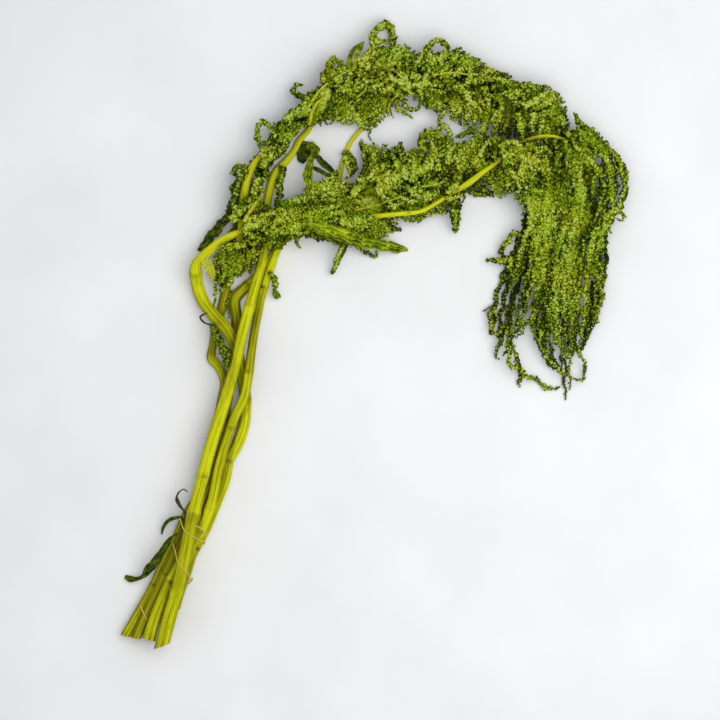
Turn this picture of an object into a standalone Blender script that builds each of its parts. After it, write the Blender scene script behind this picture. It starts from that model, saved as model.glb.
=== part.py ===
"""A tied bunch of five dried amaranth stems, lying flat, with their drooping seed heads.

The surface is z = 0. The stems run up the page, along +Y, then arch over to +X and hang back
down. The origin is on the surface, under the middle of the whole bunch. Every tube is laid on
what already lies there: it takes the lowest height at which it clears the tubes below it.
"""

import math
import random

import bmesh
import bpy
import numpy as np
from mathutils import Matrix, Vector
from mathutils.bvhtree import BVHTree
from mathutils.geometry import convex_hull_2d

MM = 0.001
WELD = 0.00001
NOWHERE = -1000.0

# Driving dimensions in millimetres, at life size: spacing along a route and gaps between pieces
STEP = 1.5
GAP = 0.6
STALK_GAP = 0.1
OWN_GAP = 0.2
SEAT = 0.35
SEAT_REACH = 12.0
SEAT_SPLITS = 5
TABLE_SINK = 0.45
TABLE_CLEAR = 0.1
TABLE_LOW = (-300, -350, -20)
TABLE_HIGH = (320, 350, 0)

# Stems: the tightest bend up or down, the ribs, and the lengths laid before the heads
STALK_BEND = 150.0
TOP_BEND = 60.0
STALK_RIBS = 4
STALK_GROOVE = 0.86
STALK_FIT = 0.6
LEFT_STRETCH = 350.0
ARCHED_STRETCH = 365.0
CUT_ROW = 4
CUT_REACH = 20.0

# Strands of florets, and how far they sink into each other and into the core of the head
STRAND_RADIUS = 4.9
STRAND_BEND = 26.0
STRAND_SIDES = 5
STRAND_RING = 7.0
STRAND_SWELL = 1.16
STRAND_WAIST = 0.8
STRAND_SINK = 0.4
PILE_HEIGHT = 20.0
TIP_RUN = 14.0
TIP_WIDTH = 0.5
ROOT_RUN = 14.0
WAVE_LENGTH = 42.0
WAVE_ANGLE = 0.28
CORE_SIDES = 8
CORE_RING = 13.0
CORE_BEND = 60.0
CORE_WAIST = 0.88
CORE_SINK = 0.74
SHEAF_RING = 10.5
SHEAF_TIP = 0.52
SHEAF_WOBBLE = 2.5
LOOP_RING = 5.0
LOOP_RADIUS = 3.2
THICK_LOOP_RADIUS = 3.8
TRAIL_RADIUS = 3.4

# Leaves
LEAF_THICK = 0.8
LEAF_BEND = 30.0
LEAF_LENGTHWAYS = 10
LEAF_ACROSS = 2
LEAF_WAVE = 1.1
LEAF_RIPPLE = 17.0
LEAF_FOOT = 0.22
LEAF_FULLNESS = 0.8
LEAF_LEAN = 0.75
LEAF_ROWS = (-1.0, -0.5, 0.0, 0.5, 1.0)

# Tassels, shrivelled stalks and the straw thread of the tie
TASSEL_RADIUS = 2.6
TASSEL_RING = 4.0
TWIG_RADIUS = 0.9
TWIG_RING = 3.0
TWIG_BEND = 300.0
THREAD_RADIUS = 0.65
THREAD_TURN = 41.0
THREAD_LIFT = 2.0
THREAD_START = 150.0
THREAD_POINTS = 36
THREAD_FIT = 0.1
THREAD_CLEAR = 0.05
RIM_POINTS = 24
TIE_LOW = -259.0
TIE_HIGH = -166.0

# Stems from the cut end upwards, as x, y and radius
MAIN_STALK = [
    (-194, -284, 6.0), (-186, -251, 5.9), (-176, -214, 5.7), (-169, -184, 5.6), (-161, -143, 5.5),
    (-153, -107, 5.4), (-145, -80, 5.2), (-137, -53, 5.0), (-130, -28, 4.8), (-124, 1, 4.6),
    (-116, 29, 4.4), (-109, 55, 4.2), (-104, 77, 3.9), (-101, 104, 3.7), (-98, 131, 3.8),
    (-89, 151, 3.4), (-75, 167, 3.0), (-63, 182, 2.6), (-55, 200, 2.2), (-41, 216, 1.8),
]
RIGHT_STALK = [
    (-207, -280, 5.0), (-197, -250, 4.9), (-186, -224, 4.8), (-174, -203, 4.7), (-161, -184, 4.6),
    (-151, -157, 4.6), (-144, -125, 4.6), (-137, -101, 4.5), (-129, -79, 4.4), (-119, -59, 4.0),
    (-115, -40, 3.6), (-111, -13, 3.2), (-107, 17, 3.1), (-101, 41, 3.2), (-96, 56, 3.5),
    (-89, 74, 3.0), (-74, 92, 2.8), (-54, 113, 2.6), (-36, 136, 2.5), (-31, 154, 2.4),
    (-24, 170, 2.2), (-13, 183, 2.0), (3, 199, 1.8), (21, 211, 1.6),
]
ARCHED_STALK = [
    (-187, -275, 5.0), (-180, -242, 5.0), (-171, -214, 5.0), (-162, -193, 5.0), (-153, -175, 4.9),
    (-145, -155, 4.8), (-139, -136, 4.8), (-134, -117, 4.9), (-126, -101, 4.8), (-120, -85, 4.7),
    (-118, -67, 4.7), (-120, -49, 4.7), (-123, -31, 4.8), (-128, -14, 4.9), (-137, -1, 4.9),
    (-150, 13, 4.9), (-160, 28, 4.8), (-166, 44, 4.7), (-168, 56, 4.6), (-163, 65, 4.2),
    (-153, 74, 3.8), (-138, 83, 3.4), (-120, 90, 3.0), (-97, 94, 2.8), (-71, 98, 2.7),
    (-39, 101, 2.6), (-7, 103, 2.6), (19, 107, 2.8), (47, 112, 2.8), (69, 125, 2.8),
    (83, 137, 3.0), (101, 147, 2.8), (119, 161, 2.5), (137, 172, 2.3), (155, 174, 2.0),
    (177, 169, 1.6),
]
LEFT_STALK = [
    (-227, -275, 5.0), (-215, -250, 4.8), (-204, -227, 4.7), (-194, -208, 4.6), (-185, -191, 4.5),
    (-177, -172, 4.5), (-166, -151, 4.4), (-156, -121, 4.3), (-149, -89, 4.2), (-144, -62, 4.0),
    (-143, -43, 3.9), (-147, -24, 3.8), (-147, -4, 3.3), (-143, 11, 3.1), (-140, 28, 3.0),
    (-135, 46, 3.0), (-130, 64, 3.0), (-125, 82, 3.0), (-123, 104, 3.1), (-121, 127, 3.4),
    (-116, 143, 3.0), (-107, 155, 2.2), (-95, 165, 1.6),
]
KINKED_STALK = [
    (-217, -276, 4.6), (-206, -250, 4.6), (-196, -227, 4.5), (-186, -206, 4.4), (-176, -187, 4.4),
    (-165, -166, 4.4), (-155, -139, 4.3), (-149, -107, 4.3), (-143, -80, 4.3), (-136, -58, 4.3),
    (-132, -35, 4.3), (-129, -13, 4.3), (-128, 10, 4.3), (-130, 30, 4.3), (-122, 40, 3.6),
    (-110, 49, 3.0), (-99, 62, 2.8), (-89, 75, 2.6), (-71, 83, 2.4), (-43, 87, 2.0),
    (-18, 83, 1.5),
]
# Direction of each stem's cut, in degrees from +X
CUTS = {"main": 24, "right": -6, "arched": 10, "left": -14, "kinked": -10}

# Middles of the dense parts of the heads, as x, y and radius
LEFT_CORE = [
    (-149, 37, 5), (-146, 55, 7), (-139, 75, 8), (-126, 95, 7), (-112, 111, 6.5), (-109, 131, 7),
    (-103, 149, 8), (-89, 171, 9), (-73, 191, 9), (-55, 208, 9),
]
OUTER_CORE = [
    (-45, 215, 8), (-12, 228, 11), (19, 233, 11), (51, 231, 12), (83, 224, 12), (114, 210, 11),
    (138, 195, 10), (155, 185, 7),
]
LOW_CORE = [(-104, 85, 6), (-83, 103, 8), (-57, 114, 9), (-30, 119, 9), (-5, 122, 8)]
INNER_CORE = [
    (1, 123, 8), (39, 134, 9), (69, 143, 9), (96, 152, 8), (121, 159, 7), (143, 162, 5),
]
RIGHT_CORE = [
    (23, 212, 3), (55, 205, 3.5), (101, 199, 4), (137, 193, 5), (165, 187, 7), (187, 171, 8),
    (202, 149, 8), (211, 125, 7), (214, 105, 5),
]

# The two sides of each hanging sheaf, from its root to its tips
INNER_SHEAF = (
    [(109, 155), (125, 118), (127, 86), (112, 62), (109, 37), (101, 13), (103, -2), (108, -17)],
    [(141, 162), (147, 113), (146, 77), (141, 44), (136, 22), (124, -1), (118, -17), (118, -27)],
)
RIGHT_SHEAF = (
    [(169, 185), (157, 117), (151, 73), (147, 28), (147, 1), (152, -19), (160, -37), (169, -51)],
    [(202, 149), (218, 127), (215, 101), (204, 74), (203, 38), (197, 8), (190, -15), (184, -37)],
)
LONG_TRAIL = [
    (141, 161), (150, 109), (141, 64), (124, 23), (114, -7), (118, -25), (128, -37), (142, -44),
    (153, -52), (164, -49),
]
SHORT_TRAIL = [(153, 164), (156, 100), (145, 55), (131, 17), (117, -15), (123, -32), (127, -50)]

# Single strands that stand out from the heads
OUTER_LOOPS = [
    [(3, 227), (-4, 244), (-7, 262), (-5, 273), (4, 278), (13, 273), (16, 263), (13, 251)],
    [(37, 226), (40, 244), (43, 253), (51, 260), (60, 258), (63, 248)],
    [(-23, 223), (-30, 234), (-43, 228), (-51, 235), (-44, 244), (-35, 241)],
]
LOW_CLUMP = [
    [(-104, 85), (-107, 77), (-114, 70), (-120, 63), (-124, 55)],
    [(-101, 88), (-100, 79), (-106, 70), (-111, 63), (-113, 55)],
]
LEFT_LOOPS = [
    [(-93, 165), (-100, 161), (-107, 166), (-110, 175), (-107, 185), (-99, 183), (-96, 175)],
    [(-109, 127), (-119, 137), (-127, 143), (-132, 138), (-130, 130)],
]
INNER_LOOPS = [
    [(7, 125), (1, 137), (-11, 147), (-25, 153), (-37, 147)],
    [(21, 129), (21, 145), (13, 155), (3, 161), (-5, 157)],
    [(11, 126), (7, 111), (11, 98), (21, 93)],
    [(49, 138), (51, 159), (41, 169), (40, 180), (49, 183), (57, 175)],
    [(65, 143), (67, 120), (68, 104), (67, 90)],
]

# Leaves as their middle lines and widths
LEAVES = {
    "leaf_base_long": ([(-177, -183), (-190, -196), (-200, -207), (-209, -216), (-217, -222),
                        (-229, -222)], 8.0),
    "leaf_base_curled": ([(-179, -177), (-181, -169), (-187, -170), (-193, -176), (-196, -183)], 4.5),
    "leaf_left": ([(-121, 121), (-133, 106), (-143, 94), (-153, 82), (-161, 71)], 8.5),
    "leaf_curled": ([(-57, 121), (-65, 140), (-63, 152), (-58, 161), (-63, 168), (-71, 163)], 9.0),
    "leaf_fork": ([(-65, 165), (-53, 155), (-45, 145), (-35, 139)], 4.0),
    "leaf_low": ([(-59, 92), (-35, 85), (-15, 80), (6, 76), (25, 74)], 10.0),
    "leaf_dark": ([(-25, 89), (-32, 71), (-37, 61), (-42, 51)], 6.0),
    "leaf_top": ([(-27, 229), (-27, 243), (-23, 253), (-15, 260)], 5.0),
}

# Tassels and shrivelled stalks that grow from the bare stems
SIDE_TASSEL = [(-97, 57), (-94, 47), (-91, 39), (-93, 31), (-87, 28)]
UNDER_TASSEL = [(-149, 7), (-145, -5), (-137, -16), (-134, -25), (-137, -33)]
LOWER_TWIG = [(-178, -184), (-174, -167), (-180, -152), (-181, -148), (-178, -143), (-171, -145)]
UPPER_TWIG = [(-147, 5), (-156, 7), (-160, 12), (-154, 16)]

# Base colours of the materials, linear
STALK_LIME = (0.42, 0.44, 0.008)
STALK_OLIVE = (0.34, 0.36, 0.01)
HEAD_GREENS = {
    "left": (0.10, 0.14, 0.010),
    "outer": (0.15, 0.20, 0.013),
    "low": (0.20, 0.26, 0.014),
    "inner": (0.22, 0.28, 0.015),
    "right": (0.13, 0.17, 0.014),
}
LEAF_GREEN = (0.045, 0.075, 0.004)
TWIG_GREEN = (0.03, 0.05, 0.008)
STRAW = (0.58, 0.46, 0.05)


def material(name, colour, roughness):
    """A plain Principled finish."""
    made = bpy.data.materials.new(name)
    made.use_nodes = True
    shader = made.node_tree.nodes["Principled BSDF"]
    shader.inputs["Base Color"].default_value = (*colour, 1.0)
    shader.inputs["Roughness"].default_value = roughness
    shader.inputs["Metallic"].default_value = 0.0
    return made


def collection(name):
    """A new collection in the scene."""
    made = bpy.data.collections.new(name)
    bpy.context.scene.collection.children.link(made)
    return made


def smooth(points, spacing=STEP):
    """Rows read every spacing along a smooth curve through the points."""
    knots = np.asarray(points, float)
    runs = np.linalg.norm(np.diff(knots[:, :2], axis=0), axis=1)
    along = np.concatenate([[0.0], np.cumsum(runs)])
    slope = np.gradient(knots, along, axis=0)
    at = np.linspace(0.0, along[-1], max(2, round(along[-1] / spacing) + 1))
    left = np.clip(np.searchsorted(along, at, side="right") - 1, 0, len(along) - 2)
    run = (along[left + 1] - along[left])[:, None]
    t = (at - along[left])[:, None] / run
    return (
        (1 + 2 * t) * (1 - t) ** 2 * knots[left]
        + t * (1 - t) ** 2 * run * slope[left]
        + t ** 2 * (3 - 2 * t) * knots[left + 1]
        + t ** 2 * (t - 1) * run * slope[left + 1]
    )


def ease(t):
    """A smooth step from 0 to 1."""
    t = np.clip(t, 0.0, 1.0)
    return t * t * (3 - 2 * t)


def distance_along(rows):
    """Distance from the first row to each row, in plan."""
    runs = np.linalg.norm(np.diff(rows[:, :2], axis=0), axis=1)
    return np.concatenate([[0.0], np.cumsum(runs)])


def bent(need, along, radius):
    """The lowest heights that clear every need and bend no tighter than the radius."""
    fall = (along[:, None] - along[None, :]) ** 2 / (2 * radius)
    return (need[None, :] - fall).max(axis=1)


def thinned(path, tolerance):
    """The rows of a path that keep its shape to within the tolerance."""
    chord = path[-1, :3] - path[0, :3]
    offset = path[:, :3] - path[0, :3]
    share = np.clip(offset @ chord / (chord @ chord), 0.0, 1.0)
    miss = np.linalg.norm(offset - share[:, None] * chord, axis=1)
    middle = int(miss.argmax())
    if miss[middle] <= tolerance:
        return path[[0, -1]]
    first = thinned(path[: middle + 1], tolerance)
    return np.concatenate([first[:-1], thinned(path[middle:], tolerance)])


class Pile:
    """Balls along everything laid so far, on which the next piece comes to rest."""

    def __init__(self):
        self.balls = np.empty((0, 4))
        self.owners = []

    def add(self, path, owner):
        self.balls = np.concatenate([self.balls, path[:, :4]])
        self.owners += [owner] * len(path)

    def lift(self, level, wanted, gap, sink=1.0):
        """Height of the centre at each x, y, radius row that just rests on the wanted owners."""
        pick = np.array([wanted(owner) for owner in self.owners], bool)
        if not pick.any():
            return np.full(len(level), NOWHERE)
        balls = self.balls[pick]
        reach = (level[:, 2][:, None] + balls[:, 3]) * sink + gap
        apart = ((level[:, None, :2] - balls[None, :, :2]) ** 2).sum(axis=2)
        over = reach ** 2 - apart
        heights = np.where(over > 0, balls[:, 2] + np.sqrt(np.maximum(over, 0)), NOWHERE)
        return heights.max(axis=1)


PILE = Pile()


class Stalk:
    """One stem, laid in one or more stretches from its cut end."""

    def __init__(self, name, route, sink=-TABLE_CLEAR):
        self.name = name
        self.sink = sink
        self.level = smooth(route)
        self.along = distance_along(self.level)
        self.need = np.empty(0)
        self.height = np.empty(0)

    def lay(self, until=None):
        """Lays the stretch up to this distance along, or all of it."""
        start = len(self.need)
        stop = len(self.level) if until is None else int(np.searchsorted(self.along, until))
        stretch = self.level[start:stop]
        tied = (stretch[:, 1] > TIE_LOW - STEP) & (stretch[:, 1] < TIE_HIGH + STEP)
        table = stretch[:, 2] + np.where(tied, THREAD_LIFT, -self.sink)
        rest = PILE.lift(stretch, lambda owner: owner != self.name, STALK_GAP if start else GAP)
        self.need = np.concatenate([self.need, np.maximum(table, rest)])
        height = bent(self.need, self.along[:stop], TOP_BEND if start else STALK_BEND)
        height[:start] = np.maximum(height[:start], self.height)
        self.height = height
        PILE.add(self.path()[start:stop], self.name)

    def path(self):
        count = len(self.height)
        return np.column_stack([self.level[:count, :2], self.height, self.level[:count, 2]])


class Head:
    """The dense core of one seed head and the strands that grow from it."""

    def __init__(self, name, route, seed, stem=None):
        self.name = name
        self.random = random.Random(seed)
        self.strands = []
        level = smooth(route)
        rest = PILE.lift(level, lambda owner: owner != stem, GAP)
        need = np.maximum(level[:, 2] - TABLE_SINK, rest)
        height = bent(need, distance_along(level), CORE_BEND)
        self.core = np.column_stack([level[:, :2], height, level[:, 2]])
        PILE.add(self.core, name + " core")

    def nearest(self, place):
        """The row of the core nearest to a place."""
        return int(np.linalg.norm(self.core[:, :2] - place, axis=1).argmin())

    def root(self, share, offset):
        """Place and heading at this share of the core's length, moved sideways by the offset."""
        index = min(int(share * len(self.core)), len(self.core) - 2)
        run = self.core[index + 1, :2] - self.core[index, :2]
        heading = math.atan2(run[1], run[0])
        side = np.array([-math.sin(heading), math.cos(heading)])
        return self.core[index, :2] + offset * side, heading

    def lay(self, line, radius=STRAND_RADIUS, ring=STRAND_RING, slim=1.0):
        """Lays a strand along a line of x, y rows that starts in the core."""
        along = distance_along(line)
        taper = 1 - (1 - TIP_WIDTH) * ease((along - along[-1] + TIP_RUN) / TIP_RUN)
        taper *= 1 - (1 - slim) * along / along[-1]
        level = np.column_stack([line, radius * taper * STRAND_SWELL])
        start = self.core[self.nearest(line[0]), 2]
        own_core, own_strands = self.name + " core", self.name + " strand"
        others = PILE.lift(level, lambda owner: owner not in (own_core, own_strands), GAP)
        own = PILE.lift(level, lambda owner: owner == own_strands, OWN_GAP)
        sunk = PILE.lift(level, lambda owner: owner == own_strands, 0.0, STRAND_SINK)
        own = np.maximum(np.minimum(own, PILE_HEIGHT), sunk)
        core = PILE.lift(level, lambda owner: owner == own_core, 0.0, CORE_SINK)
        rest = np.maximum.reduce([level[:, 2] + TABLE_CLEAR, others, own, core])
        grown = start + (bent(rest, along, STRAND_BEND) - start) * ease(along / ROOT_RUN)
        height = np.maximum(bent(others, along, STRAND_BEND), grown)
        if height[0] > start + radius:
            return
        path = np.column_stack([line, height, level[:, 2]])
        PILE.add(path, own_strands)
        rings = max(3, round(along[-1] / ring) + 1)
        path = path[np.linspace(0, len(path) - 1, rings).round().astype(int)]
        path[::2, 3] *= STRAND_WAIST / STRAND_SWELL
        self.strands.append(path)

    def fringe(self, count, span, lean, length, sweep, start=0.0, end=1.0, sides=(1, -1)):
        """Strands that leave the core on its sides in turn, left then right, and sweep along it."""
        for k in range(count):
            share = start + (end - start) * (k + 0.5) / count
            side = sides[k % len(sides)]
            place, heading = self.root(share, side * span)
            angle = math.radians(self.random.uniform(*lean)) * side
            turn = -side * math.radians(self.random.uniform(*sweep))
            reach = self.random.uniform(*length)
            self.lay(wandering(place, heading + angle, reach, turn, self.random))

    def sheaf(self, sides, shares, short):
        """Long hanging strands between two sides, at these shares of the way across."""
        left = np.array(sides[0], float)
        right = np.array(sides[1], float)
        for share in shares:
            points = left + (right - left) * share
            for point in points[1:]:
                point[0] += self.random.uniform(-SHEAF_WOBBLE, SHEAF_WOBBLE)
                point[1] += self.random.uniform(-SHEAF_WOBBLE, SHEAF_WOBBLE)
            points[0] = self.core[self.nearest(points[0]), :2]
            line = smooth(points)
            keep = 1 - self.random.uniform(0.0, short)
            self.lay(line[: int(len(line) * keep)], ring=SHEAF_RING, slim=SHEAF_TIP)


def wandering(place, heading, length, turn, draw):
    """A level line that turns steadily by the angle turn, with a slight wave."""
    count = max(6, round(length / STEP))
    share = np.arange(count) / count
    wave = WAVE_ANGLE * np.sin(2 * math.pi * (share * length / WAVE_LENGTH + draw.random()))
    angle = heading + turn * share + wave
    steps = STEP * np.column_stack([np.cos(angle), np.sin(angle)])
    return place + np.concatenate([[[0.0, 0.0]], np.cumsum(steps, axis=0)])


def profile(name, sides, groove, helpers):
    """A closed outline of 1 mm radius, with every second corner drawn in by the groove."""
    outline = bpy.data.curves.new(name, "CURVE")
    outline.dimensions = "2D"
    corners = outline.splines.new("POLY")
    corners.points.add(sides - 1)
    corners.use_cyclic_u = True
    for k, corner in enumerate(corners.points):
        angle = 2 * math.pi * k / sides
        reach = MM * (groove if k % 2 else 1.0)
        corner.co = (reach * math.cos(angle), reach * math.sin(angle), 0.0, 1.0)
    guide = bpy.data.objects.new(name, outline)
    guide.hide_render = True
    guide.display_type = "WIRE"
    helpers.objects.link(guide)
    return guide


def tube(name, path, outline, place):
    """A closed mesh swept along x, y, z, radius rows."""
    curve = bpy.data.curves.new(name, "CURVE")
    curve.dimensions = "3D"
    curve.bevel_mode = "OBJECT"
    curve.bevel_object = outline
    curve.use_fill_caps = True
    spline = curve.splines.new("POLY")
    spline.points.add(len(path) - 1)
    for point, (x, y, z, radius) in zip(spline.points, path):
        point.co = (x * MM, y * MM, z * MM, 1.0)
        point.radius = radius
    drawn = bpy.data.objects.new(name + "_curve", curve)
    place.objects.link(drawn)
    graph = bpy.context.evaluated_depsgraph_get()
    mesh = bpy.data.meshes.new_from_object(drawn.evaluated_get(graph))
    made = bpy.data.objects.new(name, mesh)
    made.matrix_world = drawn.matrix_world
    place.objects.link(made)
    bpy.data.objects.remove(drawn)
    shape = bmesh.new()
    shape.from_mesh(mesh)
    bmesh.ops.remove_doubles(shape, verts=shape.verts, dist=WELD)
    bmesh.ops.recalc_face_normals(shape, faces=shape.faces)
    shape.to_mesh(mesh)
    shape.free()
    return made


def keep_largest(mesh):
    """Drops loose scraps and the walls of sealed hollows, which leaves the one outer skin."""
    shape = bmesh.new()
    shape.from_mesh(mesh)
    unseen = set(shape.faces)
    bodies = []
    while unseen:
        front = [unseen.pop()]
        body = list(front)
        while front:
            for edge in front.pop().edges:
                for face in edge.link_faces:
                    if face in unseen:
                        unseen.remove(face)
                        front.append(face)
                        body.append(face)
        bodies.append(body)
    extent = [sum(face.calc_area() for face in body) for body in bodies]
    largest = extent.index(max(extent))
    waste = [face for k, body in enumerate(bodies) if k != largest for face in body]
    bmesh.ops.delete(shape, geom=waste, context="FACES")
    shape.to_mesh(mesh)
    shape.free()


def fused(base, others):
    """Joins the objects of a collection to the base in one union, and clears them away."""
    union = base.modifiers.new("Fuse", "BOOLEAN")
    union.operation = "UNION"
    union.operand_type = "COLLECTION"
    union.collection = others
    union.solver = "MANIFOLD"
    graph = bpy.context.evaluated_depsgraph_get()
    mesh = bpy.data.meshes.new_from_object(base.evaluated_get(graph))
    base.modifiers.clear()
    base.data = mesh
    keep_largest(mesh)
    for piece in list(others.objects):
        bpy.data.objects.remove(piece)
    bpy.data.collections.remove(others)


def box_cutter(name, low, high, cutters):
    """A box between two corners, used only to cut."""
    mesh = bpy.data.meshes.new(name)
    shape = bmesh.new()
    bmesh.ops.create_cube(shape, size=1.0)
    for vertex in shape.verts:
        for axis in range(3):
            vertex.co[axis] = (low[axis] if vertex.co[axis] < 0 else high[axis]) * MM
    shape.to_mesh(mesh)
    shape.free()
    cutter = bpy.data.objects.new(name, mesh)
    cutter.hide_render = True
    cutter.display_type = "WIRE"
    cutters.objects.link(cutter)
    return cutter


def cut(piece, cutter, name):
    """Takes the cutter's shape away from the piece."""
    modifier = piece.modifiers.new(name, "BOOLEAN")
    modifier.operation = "DIFFERENCE"
    modifier.object = cutter


def build_stalk(stalk, outline, finish, bunch, cutters):
    """Ribbed stem with its end cut across at a slant."""
    piece = tube(stalk.name + "_stalk", thinned(stalk.path(), STALK_FIT), outline, bunch)
    piece.data.materials.append(finish)
    low = (-CUT_REACH, -CUT_REACH, -CUT_REACH)
    high = (CUT_REACH, 0, CUT_REACH)
    knife = box_cutter(stalk.name + "_cut", low, high, cutters)
    knife.location = stalk.path()[CUT_ROW, :3] * MM
    knife.rotation_euler[2] = math.radians(CUTS[stalk.name])
    cut(piece, knife, "Slanting cut")


def build_head(head, outlines, finish, bunch):
    """Core and strands of one seed head in one body."""
    rings = max(4, round(distance_along(head.core)[-1] / CORE_RING) + 1)
    path = head.core[np.linspace(0, len(head.core) - 1, rings).round().astype(int)].copy()
    path[1::2, 3] *= CORE_WAIST
    core = tube(head.name + "_head", path, outlines["core"], bunch)
    strands = collection(head.name + "_strands")
    for number, strand in enumerate(head.strands):
        tube(f"{head.name}_strand_{number}", strand, outlines["strand"], strands)
    fused(core, strands)
    core.data.materials.clear()
    core.data.materials.append(finish)


def leaf_shape(route, width):
    """Middle line, sideways directions, half widths and heights of a leaf, row by row."""
    level = smooth(route)
    along = distance_along(level)
    share = along / along[-1]
    swell = np.sin(math.pi * share ** LEAF_LEAN) ** LEAF_FULLNESS
    half = width / 2 * (LEAF_FOOT + (1 - LEAF_FOOT) * swell)
    run = np.gradient(level, axis=0)
    run /= np.linalg.norm(run, axis=1)[:, None]
    side = np.column_stack([-run[:, 1], run[:, 0]])
    need = np.full(len(level), LEAF_THICK)
    for across in LEAF_ROWS:
        place = level + side * (half * across)[:, None]
        row = np.column_stack([place, np.full(len(level), LEAF_THICK)])
        need = np.maximum(need, PILE.lift(row, lambda owner: True, GAP))
    return level, side, half, bent(need, along, LEAF_BEND) + LEAF_WAVE


def build_leaf(name, route, width, finish, bunch):
    """Thin waved blade laid over what is under it, widest a third of the way along."""
    level, side, half, height = leaf_shape(route, width)
    for across in LEAF_ROWS:
        place = level + side * (half * across)[:, None]
        reach = np.full(len(level), LEAF_WAVE + LEAF_THICK)
        PILE.add(np.column_stack([place, height, reach]), name)
    mesh = bpy.data.meshes.new(name)
    shape = bmesh.new()
    bmesh.ops.create_grid(shape, x_segments=LEAF_LENGTHWAYS, y_segments=LEAF_ACROSS, size=1.0)
    for vertex in shape.verts:
        share = (vertex.co.x + 1) / 2
        across = vertex.co.y
        index = min(round(share * (len(level) - 1)), len(level) - 1)
        spot = level[index] + side[index] * half[index] * across
        ripple = (abs(across) - 0.5) * math.sin(LEAF_RIPPLE * share + 1.6 * across)
        vertex.co = (spot[0] * MM, spot[1] * MM, (height[index] + LEAF_WAVE * ripple) * MM)
    bmesh.ops.triangulate(shape, faces=shape.faces, quad_method="FIXED")
    bmesh.ops.recalc_face_normals(shape, faces=shape.faces)
    shape.to_mesh(mesh)
    shape.free()
    leaf = bpy.data.objects.new(name, mesh)
    bunch.objects.link(leaf)
    blade = leaf.modifiers.new("Blade", "SOLIDIFY")
    blade.thickness = LEAF_THICK * MM
    blade.offset = 0.0
    leaf.data.materials.append(finish)


def build_spray(name, route, radius, ring, bend, outline, finish, bunch):
    """A short loose tassel or a shrivelled stalk laid where it fell."""
    line = smooth(route)
    along = distance_along(line)
    level = np.column_stack([line, radius * (1 - 0.5 * ease(along / along[-1]))])
    rest = PILE.lift(level, lambda owner: True, GAP)
    height = bent(np.maximum(level[:, 2] + TABLE_CLEAR, rest), along, bend)
    path = np.column_stack([line, height, level[:, 2]])
    PILE.add(path, name)
    rings = max(4, round(along[-1] / ring) + 1)
    path = path[np.linspace(0, len(path) - 1, rings).round().astype(int)]
    spray = tube(name, path, outline, bunch)
    spray.data.materials.append(finish)


def rim(paths, centre, axis, across):
    """The outline of the bundle where it is crossed at right angles, as sideways and height."""
    points = []
    for path in paths:
        near = np.abs((path[:, :2] - centre) @ axis).argmin()
        offset = (path[near, :2] - centre) @ across
        reach = path[near, 3] + THREAD_RADIUS + GAP
        for step in range(RIM_POINTS):
            turn = 2 * math.pi * step / RIM_POINTS
            height = path[near, 2] + reach * math.sin(turn)
            points.append((offset + reach * math.cos(turn), height))
    return np.array([points[i] for i in convex_hull_2d(points)])


def build_tie(stalks, outline, finish, bunch):
    """Thin straw thread wound down the bundle in one long screw."""
    paths = [stalk.path() for stalk in stalks]
    low = np.mean([np.interp(TIE_LOW, path[:, 1], path[:, 0]) for path in paths])
    high = np.mean([np.interp(TIE_HIGH, path[:, 1], path[:, 0]) for path in paths])
    axis = np.array([high - low, TIE_HIGH - TIE_LOW])
    length = float(np.linalg.norm(axis))
    axis /= length
    across = np.array([axis[1], -axis[0]])
    start = np.array([high, TIE_HIGH])
    count = round(length / THREAD_TURN * THREAD_POINTS)
    points = []
    for k in range(count + 1):
        centre = start - axis * length * k / count
        hull = rim(paths, centre, axis, across)
        offset, height = hull.mean(axis=0)
        angle = math.radians(THREAD_START) - 2 * math.pi * k / THREAD_POINTS
        reach = hull_reach(hull, offset, height, angle)
        place = centre + across * (offset + reach * math.cos(angle))
        height = max(height + reach * math.sin(angle), THREAD_RADIUS + THREAD_CLEAR)
        points.append((place[0], place[1], height, THREAD_RADIUS))
    PILE.add(np.array(points), "tie")
    tie = tube("tie_thread", thinned(np.array(points), THREAD_FIT), outline, bunch)
    tie.data.materials.append(finish)


def hull_reach(hull, x, z, angle):
    """Distance from a point inside a convex outline to its edge, at this angle."""
    ray = np.array([math.cos(angle), math.sin(angle)])
    best = 0.0
    for near, far in zip(hull, np.roll(hull, -1, axis=0)):
        edge = far - near
        cross = ray[0] * edge[1] - ray[1] * edge[0]
        if abs(cross) < WELD:
            continue
        to = near - (x, z)
        distance = (to[0] * edge[1] - to[1] * edge[0]) / cross
        share = (to[0] * ray[1] - to[1] * ray[0]) / cross
        if distance > 0 and -WELD <= share <= 1 + WELD:
            best = max(best, distance)
    return best


def skins(pieces):
    """All faces of the pieces as they are drawn, in one tree that rays can be cast at."""
    graph = bpy.context.evaluated_depsgraph_get()
    points = []
    faces = []
    for piece in pieces:
        drawn = piece.evaluated_get(graph)
        mesh = drawn.to_mesh()
        faces += [[k + len(points) for k in face.vertices] for face in mesh.polygons]
        points += [piece.matrix_world @ vertex.co for vertex in mesh.vertices]
        drawn.to_mesh_clear()
    return points, BVHTree.FromPolygons(points, faces)


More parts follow.
